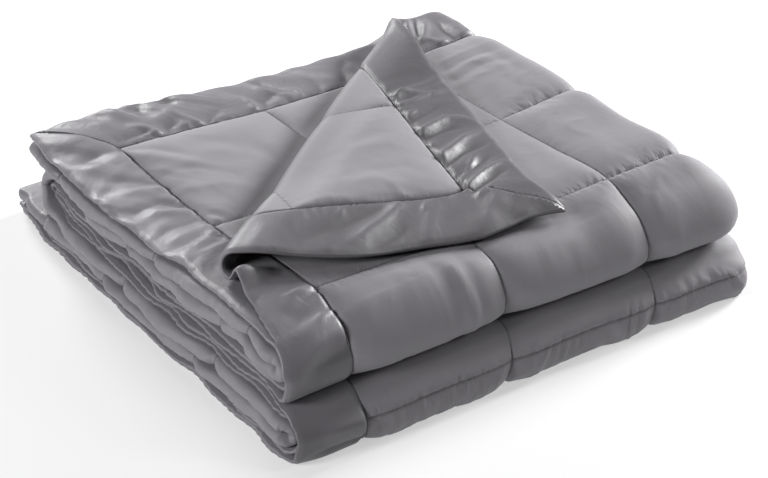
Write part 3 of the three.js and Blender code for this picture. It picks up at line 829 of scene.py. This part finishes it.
def facePoints(u, v, isPanel, faceUp, lift=0.0):
    off = faceOff(u, v, isPanel, faceUp) + lift
    middle = 0 if isPanel else bindingMiddle(u, v, across(u), along(v))
    return foldedPoint(u, v, middle + (off if faceUp else -off))


# Lines between two ends: zones give the spacing, and seams get a few lines close by.
def lines(low, high, zones, coarse, seams=(), near=(1.2, 3.0, 5.5, 8.5)):
    places = [low]
    while places[-1] < high - 1e-6:
        here = places[-1]
        step = min([coarse] + [zone[2] for zone in zones if zone[0] - 1e-6 <= here < zone[1] - 1e-6])
        ahead = [zone[0] for zone in zones if here + 1e-6 < zone[0] < here + step]
        places.append(min([here + step, high] + ahead))
    if len(places) > 2 and places[-1] - places[-2] < 0.4 * (places[-2] - places[-3]):
        places.pop(-2)
    extra = []
    for seam in seams:
        extra += [seam] + [seam + side * far for far in near for side in (-1, 1)]
    extra = [place for place in extra if low + 0.8 < place < high - 0.8]
    places = [place for place in places if all(abs(place - seam) > near[-1] + 1.5 for seam in seams)
              or place in (places[0], places[-1])]
    return np.array(sorted(set(places) | set(extra)))


# Faces between two rows of points, each row with its own places along it.
def betweenRows(firstAt, first, secondAt, second):
    if len(firstAt) == len(secondAt) and np.allclose(firstAt, secondAt):
        return [(first[i], second[i], second[i + 1], first[i + 1]) for i in range(len(first) - 1)]
    faces = []
    i = j = 0
    while i < len(first) - 1 or j < len(second) - 1:
        canFirst = i < len(first) - 1
        if canFirst and (j == len(second) - 1 or firstAt[i + 1] <= secondAt[j + 1]):
            faces.append((first[i], second[j], first[i + 1]))
            i += 1
        else:
            faces.append((first[i], second[j], second[j + 1]))
            j += 1
    return faces


# Distance to the nearest stitched line, quilting seam, seam of a binding or mitre.
def fromStitches(u, v):
    fromSide, fromEnd = fromEdges(u, v)
    depth = np.minimum(fromSide, fromEnd)
    mitred = 0.5 + 0.7 * np.abs(fromSide - fromEnd)
    onBinding = np.minimum(binding - depth, mitred)
    quilted = np.minimum(np.abs(toSeam(u)[0]), np.abs(toSeam(np.interp(v, rowsSewn, rowLines))[0]))
    return np.where(depth < binding, onBinding, np.minimum(quilted, depth - binding))


# Painted light on the satin, standing in for its sheen and shade: painted shade on the turned corner and
# round the front folds, a painted highlight on the back layer's head end, painted shade in its creases and
# painted highlights on their crests.
paintedSatinLight = {
    # painted shade on the turned corner
    "turned": 0.36,
    "turnedFrom": 30.0,
    "turnedOver": 60.0,
    "shadeByRoll": 0.24,  # more painted shade beside the roll
    "rollFrom": 260.0,
    "rollOver": 140.0,
    "beside": 0.15,  # painted highlight on the back layer's head end
    # painted shade round the upper and lower folds
    "upperFold": 0.14,
    "lowerFold": 0.34,
    # painted shade in the creases and painted highlights on their crests, between these bounds
    "crease": 0.07,
    "darkest": -0.28,
    "lightest": 0.16,
}


def paintedSatinLightAt(u, v, faceUp):
    paintedLighting = paintedSatinLight
    section = across(u)
    station = along(v)
    onTop = station["run"] == 0
    isFirst = section["run"] == 0
    past = pastRoll(section["x"], station["y"])
    turned = onTop * isFirst * smooth((past - paintedLighting["turnedFrom"]) / paintedLighting["turnedOver"])
    beside = onTop * (section["run"] == 6) * (flatWide - u < v)
    upper, lower = station["run"] == 1, station["run"] == 5
    onFolds = (paintedLighting["upperFold"] * upper + paintedLighting["lowerFold"] * lower) * np.cos(station["angle"]) ** 2
    shadeByRoll = turned * (u > v) * smooth((u - paintedLighting["rollFrom"]) / paintedLighting["rollOver"])
    tone = (1 - paintedLighting["turned"] * turned) * (1 - paintedLighting["shadeByRoll"] * shadeByRoll)
    tone = tone * (1 + paintedLighting["beside"] * beside) * (1 - onFolds * isFirst)
    # painted shade in the creases' troughs and painted highlights on their crests
    hand = creased(u, v, frontBindingCreases if faceUp else backBindingCreases)
    return tone * (1 + np.clip(paintedLighting["crease"] * hand, paintedLighting["darkest"], paintedLighting["lightest"]))


class ClothMesh:
    # a closed piece: a face side and a back side, each in rows, and the wall round its edge
    def __init__(self, isPanel):
        self.isPanel = isPanel
        self.points = []
        self.places = []
        self.paintedLighting = []
        self.seams = []
        self.faces = []
        self.walls = []
        self.count = 0

    def addSide(self, rowsAt, columnsFor, toSheet, faceUp, flip):
        rows = []
        allU, allV = [], []
        for rowAt in rowsAt:
            columns = columnsFor(rowAt)
            u, v = toSheet(rowAt, columns)
            rows.append((columns, list(range(self.count, self.count + len(columns)))))
            allU.append(u)
            allV.append(v)
            self.count += len(columns)
        u = np.concatenate(allU)
        v = np.concatenate(allV)
        self.points.append(facePoints(u, v, self.isPanel, faceUp))
        self.places.append(np.stack([u, np.interp(v, rowsSewn, rowLines)], -1))
        # painted light for the satin: painted shade and painted highlights
        self.paintedLighting.append(paintedSatinLightAt(u, v, faceUp))
        self.seams.append(fromStitches(u, v))
        for (firstAt, first), (secondAt, second) in zip(rows[:-1], rows[1:]):
            made = betweenRows(firstAt, first, secondAt, second)
            self.faces += [face[::-1] for face in made] if flip else made
        return rows

    def addWall(self, top, bottom, topRows, bottomRows, flip):
        # the outer edge is rounded, the sewn edges are sharp
        sides = (
            (top[0][0], top[0][1], bottom[0][0], bottom[0][1], True, self.isPanel),
            (top[-1][0], top[-1][1], bottom[-1][0], bottom[-1][1], False, True),
            (topRows, [row[1][0] for row in top], bottomRows, [row[1][0] for row in bottom], False, True),
            (topRows, [row[1][-1] for row in top], bottomRows, [row[1][-1] for row in bottom], True, True),
        )
        for topAt, topPoints, bottomAt, bottomPoints, turned, isSharp in sides:
            made = betweenRows(topAt, topPoints, bottomAt, bottomPoints)
            if isSharp:
                self.walls += range(len(self.faces), len(self.faces) + len(made))
            self.faces += [face[::-1] for face in made] if turned != flip else made

    def build(self, name, material):
        points = inRow(np.concatenate(self.points))
        mesh = bpy.data.meshes.new(name)
        mesh.from_pydata(points.tolist(), [], self.faces)
        mesh.update()
        places = np.concatenate(self.places)
        corners = np.zeros(len(mesh.loops), np.int64)
        mesh.loops.foreach_get("vertex_index", corners)
        layer = mesh.uv_layers.new(name="cut")
        layer.data.foreach_set("uv", (places[corners] * 0.001).ravel().astype(np.float32))
        # the painted light and the distance to the stitches, kept on each point
        for title, values in (("tone", self.paintedLighting), ("seam", self.seams)):
            layer = mesh.attributes.new(title, "FLOAT", "POINT")
            layer.data.foreach_set("value", np.concatenate(values).astype(np.float32))
        rounded = np.ones(len(mesh.polygons), bool)
        rounded[self.walls] = False
        mesh.polygons.foreach_set("use_smooth", rounded)
        mesh.materials.append(material)
        obj = bpy.data.objects.new(name, mesh)
        bpy.context.scene.collection.objects.link(obj)
        return obj


seamsAcross = [binding + boxSide * number for number in range(1, sheet["boxesAcross"])]
seamsAlong = list(rowsSewn[2:2 + int(sheet["boxesAlong"])])
sectionAt = runStarts(sectionRuns)
pathAt = runStarts(pathRuns)
creaseSpans = [(sectionAt[i], sectionAt[i + 1]) for i in (1, 3, 5)]
creaseOuter, creaseLeft, creaseInner = creaseSpans
foldSpans = [(pathAt[i], pathAt[i + 1]) for i in (1, 3, 5)]
foldUpper, foldLower = foldSpans[0], foldSpans[2]


def zonesOn(spans, spacings):
    return [(start, end, spacing) for (start, end), spacing in zip(spans, spacings)]


# Spacings of the panel's lines. Those on the folds and creases stand in the spans' order.
panelCut = {
    "shownTo": 645.0,
    "fine": 3.7,
    "finest": 2.5,  # across the seams that run to the right, whose folds are short
    "finestWithin": 16.0,
    "folds": (2.9, 5.0, 3.2),
    "leftCrease": 1.7,
    "innerCrease": 3.4,
    "backShownTo": 560.0,
    "backFine": 4.4,
    "backFolds": (7.0, 7.0, 7.0),
    "backCreases": (5.0, 3.4, 3.4),
    "backEdge": 24.0,
    "backNear": (1.5, 4.0, 7.5),
    "sideFrom": 583.0,
    "side": 7.0,  # round the right creases of the hidden passes
    "edge": 5.5,  # along the hidden passes, whose side edges show
    "beyondFold": 8.0,  # how far past the lower fold the lines stay close
    "hidden": 64.0,
}


def makePanel(material):
    cut = panelCut
    gap = sheet["gap"] / 2
    low, highU, highV = binding + gap, flatWide - binding - gap, flatLong - binding - gap
    hidden = cut["hidden"]
    toSheet = lambda v, u: (u, np.full_like(u, v))
    creases = [
        (creaseLeft[0] - 5, creaseLeft[1] + 5, cut["leftCrease"]),
        (*creaseInner, cut["innerCrease"]),
    ]
    shown = lines(low, highU, [(low, cut["shownTo"], cut["fine"])] + creases, hidden, seamsAcross[:2])
    finest = lines(low, highU, [(low, cut["shownTo"], cut["finest"])] + creases, hidden, seamsAcross[:2])
    covered = lines(low, highU, [(cut["sideFrom"], cut["shownTo"], cut["side"])] + creases, hidden)
    folds = zonesOn(foldSpans, cut["folds"])
    rows = lines(low, highV, [(low, foldUpper[0], cut["fine"])] + folds, cut["edge"], seamsAlong)
    def faceColumns(v):
        onLower = foldLower[0] - cut["beyondFold"] < v < foldLower[1] + cut["beyondFold"]
        if not (onLower or v < foldUpper[1] + 3):
            return covered
        nearSeam = min(abs(v - seam) for seam in seamsAlong) < cut["finestWithin"]
        return finest if onLower or nearSeam else shown
    cloth = ClothMesh(True)
    top = cloth.addSide(rows, faceColumns, toSheet, True, False)

    fine, near = cut["backFine"], cut["backNear"]
    creases = zonesOn(creaseSpans, cut["backCreases"])
    zones = [(low, cut["backShownTo"], fine), (creaseInner[1], highU, fine)] + creases
    backShown = lines(low, highU, zones, hidden, seamsAcross[:2] + seamsAcross[-2:], near)
    backCovered = lines(low, highU, creases, hidden)
    folds = zonesOn(foldSpans, cut["backFolds"])
    backRows = lines(low, highV, [(low, foldUpper[0], fine)] + folds, cut["backEdge"], seamsAlong[:2], near)
    backColumns = lambda v: backShown if v < foldUpper[0] + 3 else backCovered
    bottom = cloth.addSide(backRows, backColumns, toSheet, False, True)
    cloth.addWall(top, bottom, rows, backRows, False)
    return cloth.build("quiltedPanel", material)


bindingCut = {
    "depths": [
        0, 1.5, 3.5, 6, 9, 12.5, 16.5, 21, 25.5, 30, 34.5, 39, 43.5, 48, 52.5, 57, 61, 65, 69, 72.5,
        75.5, 78, 80, 81.8,
    ],
    "fine": 3.6,
    "edge": 4.0,
    "folds": (2.7, 4.0, 3.0),
    "creases": (3.6, 1.9, 1.9),
    "mitreGap": 0.05,
}


def makeBinding(name, place, material):
    # place is left, right, head or foot; a strip runs along its edge and is mitred at both ends
    cut = bindingCut
    length = flatLong if place in ("left", "right") else flatWide
    depths = np.array(cut["depths"] + [binding - sheet["gap"] / 2])
    mitre = cut["mitreGap"]
    fine, edge = cut["fine"], cut["edge"]
    side = [(0, foldUpper[0], fine)] + zonesOn(foldSpans, cut["folds"])
    creases = zonesOn(creaseSpans, cut["creases"])
    zones = {
        "left": side,
        "right": side,
        "head": [(0, creaseOuter[0], fine), (creaseInner[1], flatWide, fine)] + creases,
        "foot": creases,
    }[place]
    every = lines(0.0, length, zones, edge)
    def columnsFor(depth):
        start, end = depth + mitre, length - depth - mitre
        inside = every[(every > start + 1.2) & (every < end - 1.2)]
        return np.concatenate([[start], inside, [end]])
    def toSheet(depth, columns):
        deep = np.full_like(columns, depth)
        return {
            "left": (deep, columns),
            "right": (flatWide - deep, columns),
            "head": (columns, deep),
            "foot": (columns, flatLong - deep),
        }[place]
    flip = place in ("left", "foot")
    cloth = ClothMesh(False)
    top = cloth.addSide(depths, columnsFor, toSheet, True, flip)
    bottom = cloth.addSide(depths, columnsFor, toSheet, False, not flip)
    cloth.addWall(top, bottom, depths, depths, flip)
    return cloth.build(name, material)


# A socket whose maths is written as Python.
class Wire:
    def __init__(self, shading, socket):
        self.shading = shading
        self.socket = socket

    def maths(self, operation, *values):
        made = self.shading.node("ShaderNodeMath", {"operation": operation}, dict(enumerate(values)))
        return made.out("Value")

    def __add__(self, other):
        return self.maths("ADD", self, other)

    def __radd__(self, other):
        return self.maths("ADD", other, self)

    def __sub__(self, other):
        return self.maths("SUBTRACT", self, other)

    def __mul__(self, other):
        return self.maths("MULTIPLY", self, other)

    def __rmul__(self, other):
        return self.maths("MULTIPLY", other, self)

    def __truediv__(self, other):
        return self.maths("DIVIDE", self, other)

    def __abs__(self):
        return self.maths("ABSOLUTE", self)

    def exp(self):
        return self.maths("EXPONENT", self)

    def sine(self):
        return self.maths("SINE", self)

    def fraction(self):
        return self.maths("FRACT", self)


class MadeNode:
    def __init__(self, shading, node):
        self.shading = shading
        self.inner = node

    def out(self, name):
        return Wire(self.shading, self.inner.outputs[name])


class NodeMaker:
    def __init__(self, tree):
        self.tree = tree

    def node(self, kind, settings=None, sockets=None):
        made = self.tree.nodes.new(kind)
        for name, value in (settings or {}).items():
            setattr(made, name, value)
        for name, value in (sockets or {}).items():
            if isinstance(value, Wire):
                self.tree.links.new(value.socket, made.inputs[name])
            else:
                made.inputs[name].default_value = value
        return MadeNode(self, made)


class Shading(NodeMaker):
    def __init__(self, name):
        self.material = bpy.data.materials.new(name)
        self.material.use_nodes = True
        super().__init__(self.material.node_tree)
        self.tree.nodes.clear()

    def split(self, wire):
        parts = self.node("ShaderNodeSeparateXYZ", None, {"Vector": wire})
        return parts.out("X"), parts.out("Y")

    def joined(self, x, y):
        return self.node("ShaderNodeCombineXYZ", None, {"X": x, "Y": y}).out("Vector")

    def noise(self, place, scale, detail=2.0, roughness=0.5, distortion=0.0):
        return self.node("ShaderNodeTexNoise", None, {
            "Vector": place,
            "Scale": scale,
            "Detail": detail,
            "Roughness": roughness,
            "Distortion": distortion,
        }).out("Fac")

    def attribute(self, name):
        return self.node("ShaderNodeAttribute", {"attribute_name": name}).out("Fac")

    def cutPlace(self):
        return self.node("ShaderNodeUVMap", {"uv_map": "cut"}).out("UV")

    def mixed(self, factor, first, second):
        made = self.node("ShaderNodeMix", {"data_type": "RGBA"}, {0: factor})
        for index, value in ((6, first), (7, second)):
            if isinstance(value, Wire):
                self.tree.links.new(value.socket, made.inner.inputs[index])
            else:
                made.inner.inputs[index].default_value = value
        return Wire(self, made.inner.outputs[2])

    def bump(self, height, distance, strength):
        sockets = {"Height": height, "Distance": distance, "Strength": strength}
        return self.node("ShaderNodeBump", None, sockets).out("Normal")

    def finish(self, sockets):
        surface = self.node("ShaderNodeBsdfPrincipled", None, sockets)
        self.node("ShaderNodeOutputMaterial", None, {"Surface": surface.out("BSDF")})
        return self.material


microfibreLook = {
    "colour": (0.205, 0.197, 0.213, 1),
    "darker": (0.188, 0.180, 0.196, 1),
    # colour of the stitched line and of the painted shade beside the seams
    "stitched": (0.07, 0.066, 0.074, 1),
    "roughness": 0.66,
    "sheen": 0.15,
    "bump": 0.9,
    "bumpHeight": 0.004,
    "pinches": (70.0, 210.0),  # a metre, away from a seam and along it
}


def makeMicrofibre():
    look = microfibreLook
    cloth = Shading("microfibre")
    cut = cloth.cutPlace()
    u, v = cloth.split(cut)
    side = boxSide * 0.001
    fromU = abs((((u - binding * 0.001) / side + 40.5).fraction()) - 0.5) * side
    fromV = abs((((v - binding * 0.001) / side + 40.5).fraction()) - 0.5) * side
    nearU = (fromU * -200.0).exp()
    nearV = (fromV * -170.0).exp()
    wide, close = look["pinches"]
    pinchU = cloth.noise(cloth.joined(u * wide, v * close), 1.0, 2.0, 0.55, 0.4)
    pinchV = cloth.noise(cloth.joined(u * close, v * wide), 1.0, 2.0, 0.55, 0.4)
    gathered = (pinchU - 0.5) * nearU * 0.35 + (pinchV - 0.5) * nearV * 0.6
    brushed = cloth.noise(cut, 1400.0, 2.0)
    soft = cloth.noise(cut, 24.0, 3.0, 0.55, 0.9)
    crease = abs(cloth.noise(cut, 13.0, 2.0, 0.5, 0.6) - 0.5) * -1.0
    height = gathered + (soft - 0.5) * 0.2 + crease * 0.2 + (brushed - 0.5) * 0.015
    seam = cloth.attribute("seam")
    broken = cloth.noise(cut, 150.0, 1.0)
    # a dark line on each seam, partly the stitched line and partly painted shade in its groove, and wider
    # painted shade in the trough beside it
    stitchLineAndShade = (seam * seam * -0.7).exp() * (0.25 + 0.8 * broken) + (seam * seam * -0.012).exp() * 0.08
    nap = cloth.noise(cut, 300.0, 2.0) * 0.35 + cloth.noise(cut, 9.0, 2.0) * 0.65
    colour = cloth.mixed(nap, look["darker"], look["colour"])
    return cloth.finish({
        "Base Color": cloth.mixed(stitchLineAndShade, colour, look["stitched"]),
        "Roughness": look["roughness"],
        "Sheen Weight": look["sheen"],
        "Sheen Roughness": 0.4,
        "Normal": cloth.bump(height, look["bumpHeight"], look["bump"]),
    })


satinLook = {
    "colour": (0.172, 0.165, 0.180, 1),
    "darker": (0.156, 0.149, 0.163, 1),
    # colour of the stitched line and of the painted shade in it
    "stitched": (0.07, 0.066, 0.074, 1),
    "roughness": 0.47,
    "specular": 0.48,
    "bump": 0.8,
    "bumpHeight": 0.004,
    "threads": 9000.0,  # radians a metre
}


def makeSatin():
    look = satinLook
    cloth = Shading("satin")
    cut = cloth.cutPlace()
    soft = cloth.noise(cut, 34.0, 3.0, 0.5, 0.8)
    crease = abs(cloth.noise(cut, 21.0, 3.0, 0.6, 1.4) - 0.5) * -1.0
    u, v = cloth.split(cut)
    threads = look["threads"]
    weave = (u * threads).sine() * (v * threads + u * (threads / 3)).sine()
    height = (soft - 0.5) * 0.14 + crease * 0.4 + weave * 0.004
    colour = cloth.mixed(cloth.noise(cut, 12.0, 2.0), look["darker"], look["colour"])
    # the satin's colour scaled by the painted light: painted shade and painted highlights
    sockets = {"Vector": colour, "Scale": cloth.attribute("tone")}
    paintedLightColour = cloth.node("ShaderNodeVectorMath", {"operation": "SCALE"}, sockets).out("Vector")
    seam = cloth.attribute("seam")
    # a dark line on each seam, partly the stitched line and partly painted shade in its groove
    stitchLineAndShade = (seam * seam * -0.6).exp() * (0.3 + 0.8 * cloth.noise(cut, 170.0, 1.0))
    return cloth.finish({
        "Base Color": cloth.mixed(stitchLineAndShade, paintedLightColour, look["stitched"]),
        "Roughness": look["roughness"],
        "Specular IOR Level": look["specular"],
        "Normal": cloth.bump(height, look["bumpHeight"], look["bump"]),
    })


threadLook = {
    "colour": (0.15, 0.143, 0.157, 1),
    "darker": (0.10, 0.095, 0.105, 1),
    "roughness": 0.6,
}


def makeThread():
    look = threadLook
    thread = Shading("thread")
    place = thread.node("ShaderNodeTexCoord").out("Object")
    twist = thread.noise(place, 1800.0, 2.0)
    return thread.finish({
        "Base Color": thread.mixed(thread.noise(place, 60.0, 1.0), look["darker"], look["colour"]),
        "Roughness": look["roughness"],
        "Normal": thread.bump(twist, 0.0004, 0.6),
    })


stitchForm = {
    "spacing": 4.4,
    "length": 3.2,
    "thick": 0.8,
    "lift": 0.2,
    "inset": 2.2,  # of a binding's stitches from its sewn edge
    "step": 2.0,
    "shown": 0.35,  # looseness from which a seam shows
    "uneven": 0.12,
    "alongTo": 598.0,  # how far the lines are followed
    "acrossTo": 620.0,
    "lowerTo": 628.0,
    "backTo": 560.0,
    "early": 20.0,  # before the lower fold
}


def stitchPaths():
    # straight lines on the sheet: start, end, whether it is the panel, whether its face side
    form = stitchForm
    first, last = binding, flatWide - binding
    one, two = binding + boxSide, binding + 2 * boxSide
    inset = binding - form["inset"]
    alongTo, acrossTo, backTo = form["alongTo"], form["acrossTo"], form["backTo"]
    lower = foldLower[0] - form["early"]
    return [
        ((one, first), (one, alongTo), True, True),
        ((two, first), (two, alongTo), True, True),
        ((first, one), (acrossTo, one), True, True),
        ((first, two), (acrossTo, two), True, True),
        ((one, lower), (one, foldLower[1]), True, True),
        ((two, lower), (two, foldLower[1]), True, True),
        ((first, rowsSewn[9]), (form["lowerTo"], rowsSewn[9]), True, True),
        ((one, first), (one, alongTo), True, False),
        ((first, one), (backTo, one), True, False),
        ((last - boxSide, first), (last - boxSide, alongTo), True, False),
        ((last - 2 * boxSide, first), (last - 2 * boxSide, alongTo), True, False),
        ((last, one), (last - backTo, one), True, False),
        ((last, two), (last - backTo, two), True, False),
        ((inset, first), (inset, foldUpper[1]), False, True),
        ((inset, lower), (inset, foldLower[1]), False, True),
        ((first, inset), (acrossTo, inset), False, True),
        ((inset, first), (inset, alongTo), False, False),
        ((first, inset), (backTo, inset), False, False),
        ((flatWide - inset, first), (flatWide - inset, alongTo), False, False),
        ((last, inset), (last - backTo, inset), False, False),
    ]


def makeStitches(material):
    form = stitchForm
    points = []
    edges = []
    for start, end, isPanel, faceUp in stitchPaths():
        start, end = np.array(start, float), np.array(end, float)
        part = np.linspace(0, 1, int(np.hypot(*(end - start)) / form["step"]) + 2)
        u = mix(start[0], end[0], part)
        v = mix(start[1], end[1], part)
        isShown = looseness(across(u), along(v), faceUp) > form["shown"]
        laid = inRow(facePoints(u, v, isPanel, faceUp, form["lift"]))
        first = len(points)
        points += laid.tolist()
        edges += [(first + i, first + i + 1) for i in range(len(u) - 1) if isShown[i] and isShown[i + 1]]
    lines = bpy.data.meshes.new("stitchLines")
    lines.from_pydata(points, edges, [])
    source = bpy.data.objects.new("stitchLines", lines)
    bpy.context.scene.collection.objects.link(source)

    tree = bpy.data.node_groups.new("stitcher", "GeometryNodeTree")
    kinds = {
        "Lines": "NodeSocketGeometry",
        "Spacing": "NodeSocketFloat",
        "Length": "NodeSocketFloat",
        "Thickness": "NodeSocketFloat",
        "Seed": "NodeSocketInt",
    }
    named = {}
    for name, kind in kinds.items():
        named[name] = tree.interface.new_socket(name=name, in_out="INPUT", socket_type=kind)
    tree.interface.new_socket(name="Stitches", in_out="OUTPUT", socket_type="NodeSocketGeometry")
    maker = NodeMaker(tree)
    given = maker.node("NodeGroupInput")
    curves = maker.node("GeometryNodeMeshToCurve", None, {"Mesh": given.out("Lines")}).out("Curve")
    sockets = {"Curve": curves, "Length": given.out("Spacing")}
    places = maker.node("GeometryNodeCurveToPoints", {"mode": "LENGTH"}, sockets)
    sockets = {2: 1 - form["uneven"], 3: 1 + form["uneven"], 8: given.out("Seed")}
    chance = maker.node("FunctionNodeRandomValue", {"data_type": "FLOAT"}, sockets)
    uneven = Wire(maker, chance.inner.outputs[1])
    size = maker.node("ShaderNodeCombineXYZ", None, {
        "X": given.out("Length") * uneven,
        "Y": given.out("Thickness"),
        "Z": given.out("Thickness"),
    }).out("Vector")
    sockets = {"Vector": places.out("Tangent")}
    turned = maker.node("FunctionNodeAlignRotationToVector", {"axis": "X"}, sockets).out("Rotation")
    ball = maker.node("GeometryNodeMeshIcoSphere", None, {"Radius": 0.5, "Subdivisions": 1}).out("Mesh")
    made = maker.node("GeometryNodeInstanceOnPoints", None, {
        "Points": places.out("Points"),
        "Instance": ball,
        "Rotation": turned,
        "Scale": size,
    }).out("Instances")
    whole = maker.node("GeometryNodeRealizeInstances", None, {"Geometry": made}).out("Geometry")
    sockets = {"Geometry": whole, "Material": material}
    coloured = maker.node("GeometryNodeSetMaterial", None, sockets).out("Geometry")
    maker.node("NodeGroupOutput", None, {"Stitches": coloured})

    modifier = source.modifiers.new("stitcher", "NODES")
    modifier.node_group = tree
    settings = {
        "Spacing": form["spacing"] * 0.001,
        "Length": form["length"] * 0.001,
        "Thickness": form["thick"] * 0.001,
        "Seed": 5,
    }
    for name, value in settings.items():
        modifier[named[name].identifier] = value
    graph = bpy.context.evaluated_depsgraph_get()
    mesh = bpy.data.meshes.new_from_object(source.evaluated_get(graph))
    bpy.data.objects.remove(source)
    stitches = bpy.data.objects.new("seamStitches", mesh)
    bpy.context.scene.collection.objects.link(stitches)
    return stitches


microfibre = makeMicrofibre()
satin = makeSatin()
panel = makePanel(microfibre)
print("panel", len(panel.data.polygons), "faces")
leftBinding = makeBinding("leftBinding", "left", satin)
rightBinding = makeBinding("rightBinding", "right", satin)
headBinding = makeBinding("headBinding", "head", satin)
footBinding = makeBinding("footBinding", "foot", satin)
bindings = [leftBinding, rightBinding, headBinding, footBinding]
print("bindings", [len(strip.data.polygons) for strip in bindings])

stitches = makeStitches(makeThread())
print("stitches", len(stitches.data.polygons), "faces")

strips = {
    "left_side_binding": (leftBinding, flatLong),
    "right_side_binding": (rightBinding, flatLong),
    "head_end_binding": (headBinding, flatWide),
    "foot_end_binding": (footBinding, flatWide),
}
for node, (strip, length) in strips.items():
    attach(strip, "root")
    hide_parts(node)
    length * 0.001
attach(panel, "root")
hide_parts("quilted_panel")
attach(stitches, "root")

studio = {
    "across": 14,
    "floor": (0.45, 0.45, 0.455, 1),
    "floorGlow": 0.47,
    "world": 0.02,
    "far": 3.5,  # from each lamp to the stack
    "lampSize": 1.0,
}
# Turn from the right end towards the back, height above the floor, and power of each lamp.
lamps = {
    "rightLamp": (5, 19, 215.0),
    "backLamp": (83, 25, 86.0),
    "leftLamp": (184, 25, 90.0),
    "topLamp": (90, 66, 16.0),
    "frontLamp": (315, 35, 20.0),
}
bpy.ops.mesh.primitive_plane_add(size=studio["across"], location=(0, 0, 0))
floor = bpy.context.object
floor.name = "studioFloor"
floorShade = Shading("studioFloor")
floor.data.materials.append(floorShade.finish({
    "Base Color": studio["floor"],
    "Roughness": 0.9,
    "Emission Color": (1, 1, 1, 1),
    "Emission Strength": studio["floorGlow"],
}))

world = bpy.data.worlds.new("studioWorld")
world.use_nodes = True
backdrop = world.node_tree.nodes["Background"]
backdrop.inputs["Color"].default_value = (1, 1, 1, 1)
backdrop.inputs["Strength"].default_value = studio["world"]
bpy.context.scene.world = world
bpy.context.scene.view_settings.view_transform = "Standard"


def addLamp(name, turn, height, power):
    data = bpy.data.lights.new(name, "AREA")
    data.shape = "DISK"
    data.size = studio["lampSize"]
    data.energy = power
    lamp = bpy.data.objects.new(name, data)
    turn, height = math.radians(turn), math.radians(height)
    level = math.cos(height)
    way = Vector((math.cos(turn) * level, math.sin(turn) * level, math.sin(height)))
    lamp.location = way * studio["far"] + Vector((0, 0, 0.1))
    lamp.rotation_euler = (-way).to_track_quat("-Z", "Y").to_euler()
    bpy.context.scene.collection.objects.link(lamp)


for name, (turn, height, power) in lamps.items():
    addLamp(name, turn, height, power)

photoCamera = {
    "lens": 3010.12 / 768 * 36,  # from the photo's own pixels
    "eye": (-1441.81, -2200.69, 1919.87),
    "target": (287.05, 259.23, 60.0),
}
camera = bpy.data.cameras.new("photoCamera")
camera.lens = photoCamera["lens"]
camera.sensor_width = 36
camera.clip_end = 50
cameraObject = bpy.data.objects.new("photoCamera", camera)
eye = Vector(inRow(photoCamera["eye"]))
target = Vector(inRow(photoCamera["target"]))
cameraObject.location = eye
cameraObject.rotation_euler = (target - eye).to_track_quat("-Z", "Y").to_euler()
bpy.context.scene.collection.objects.link(cameraObject)
bpy.context.scene.camera = cameraObject
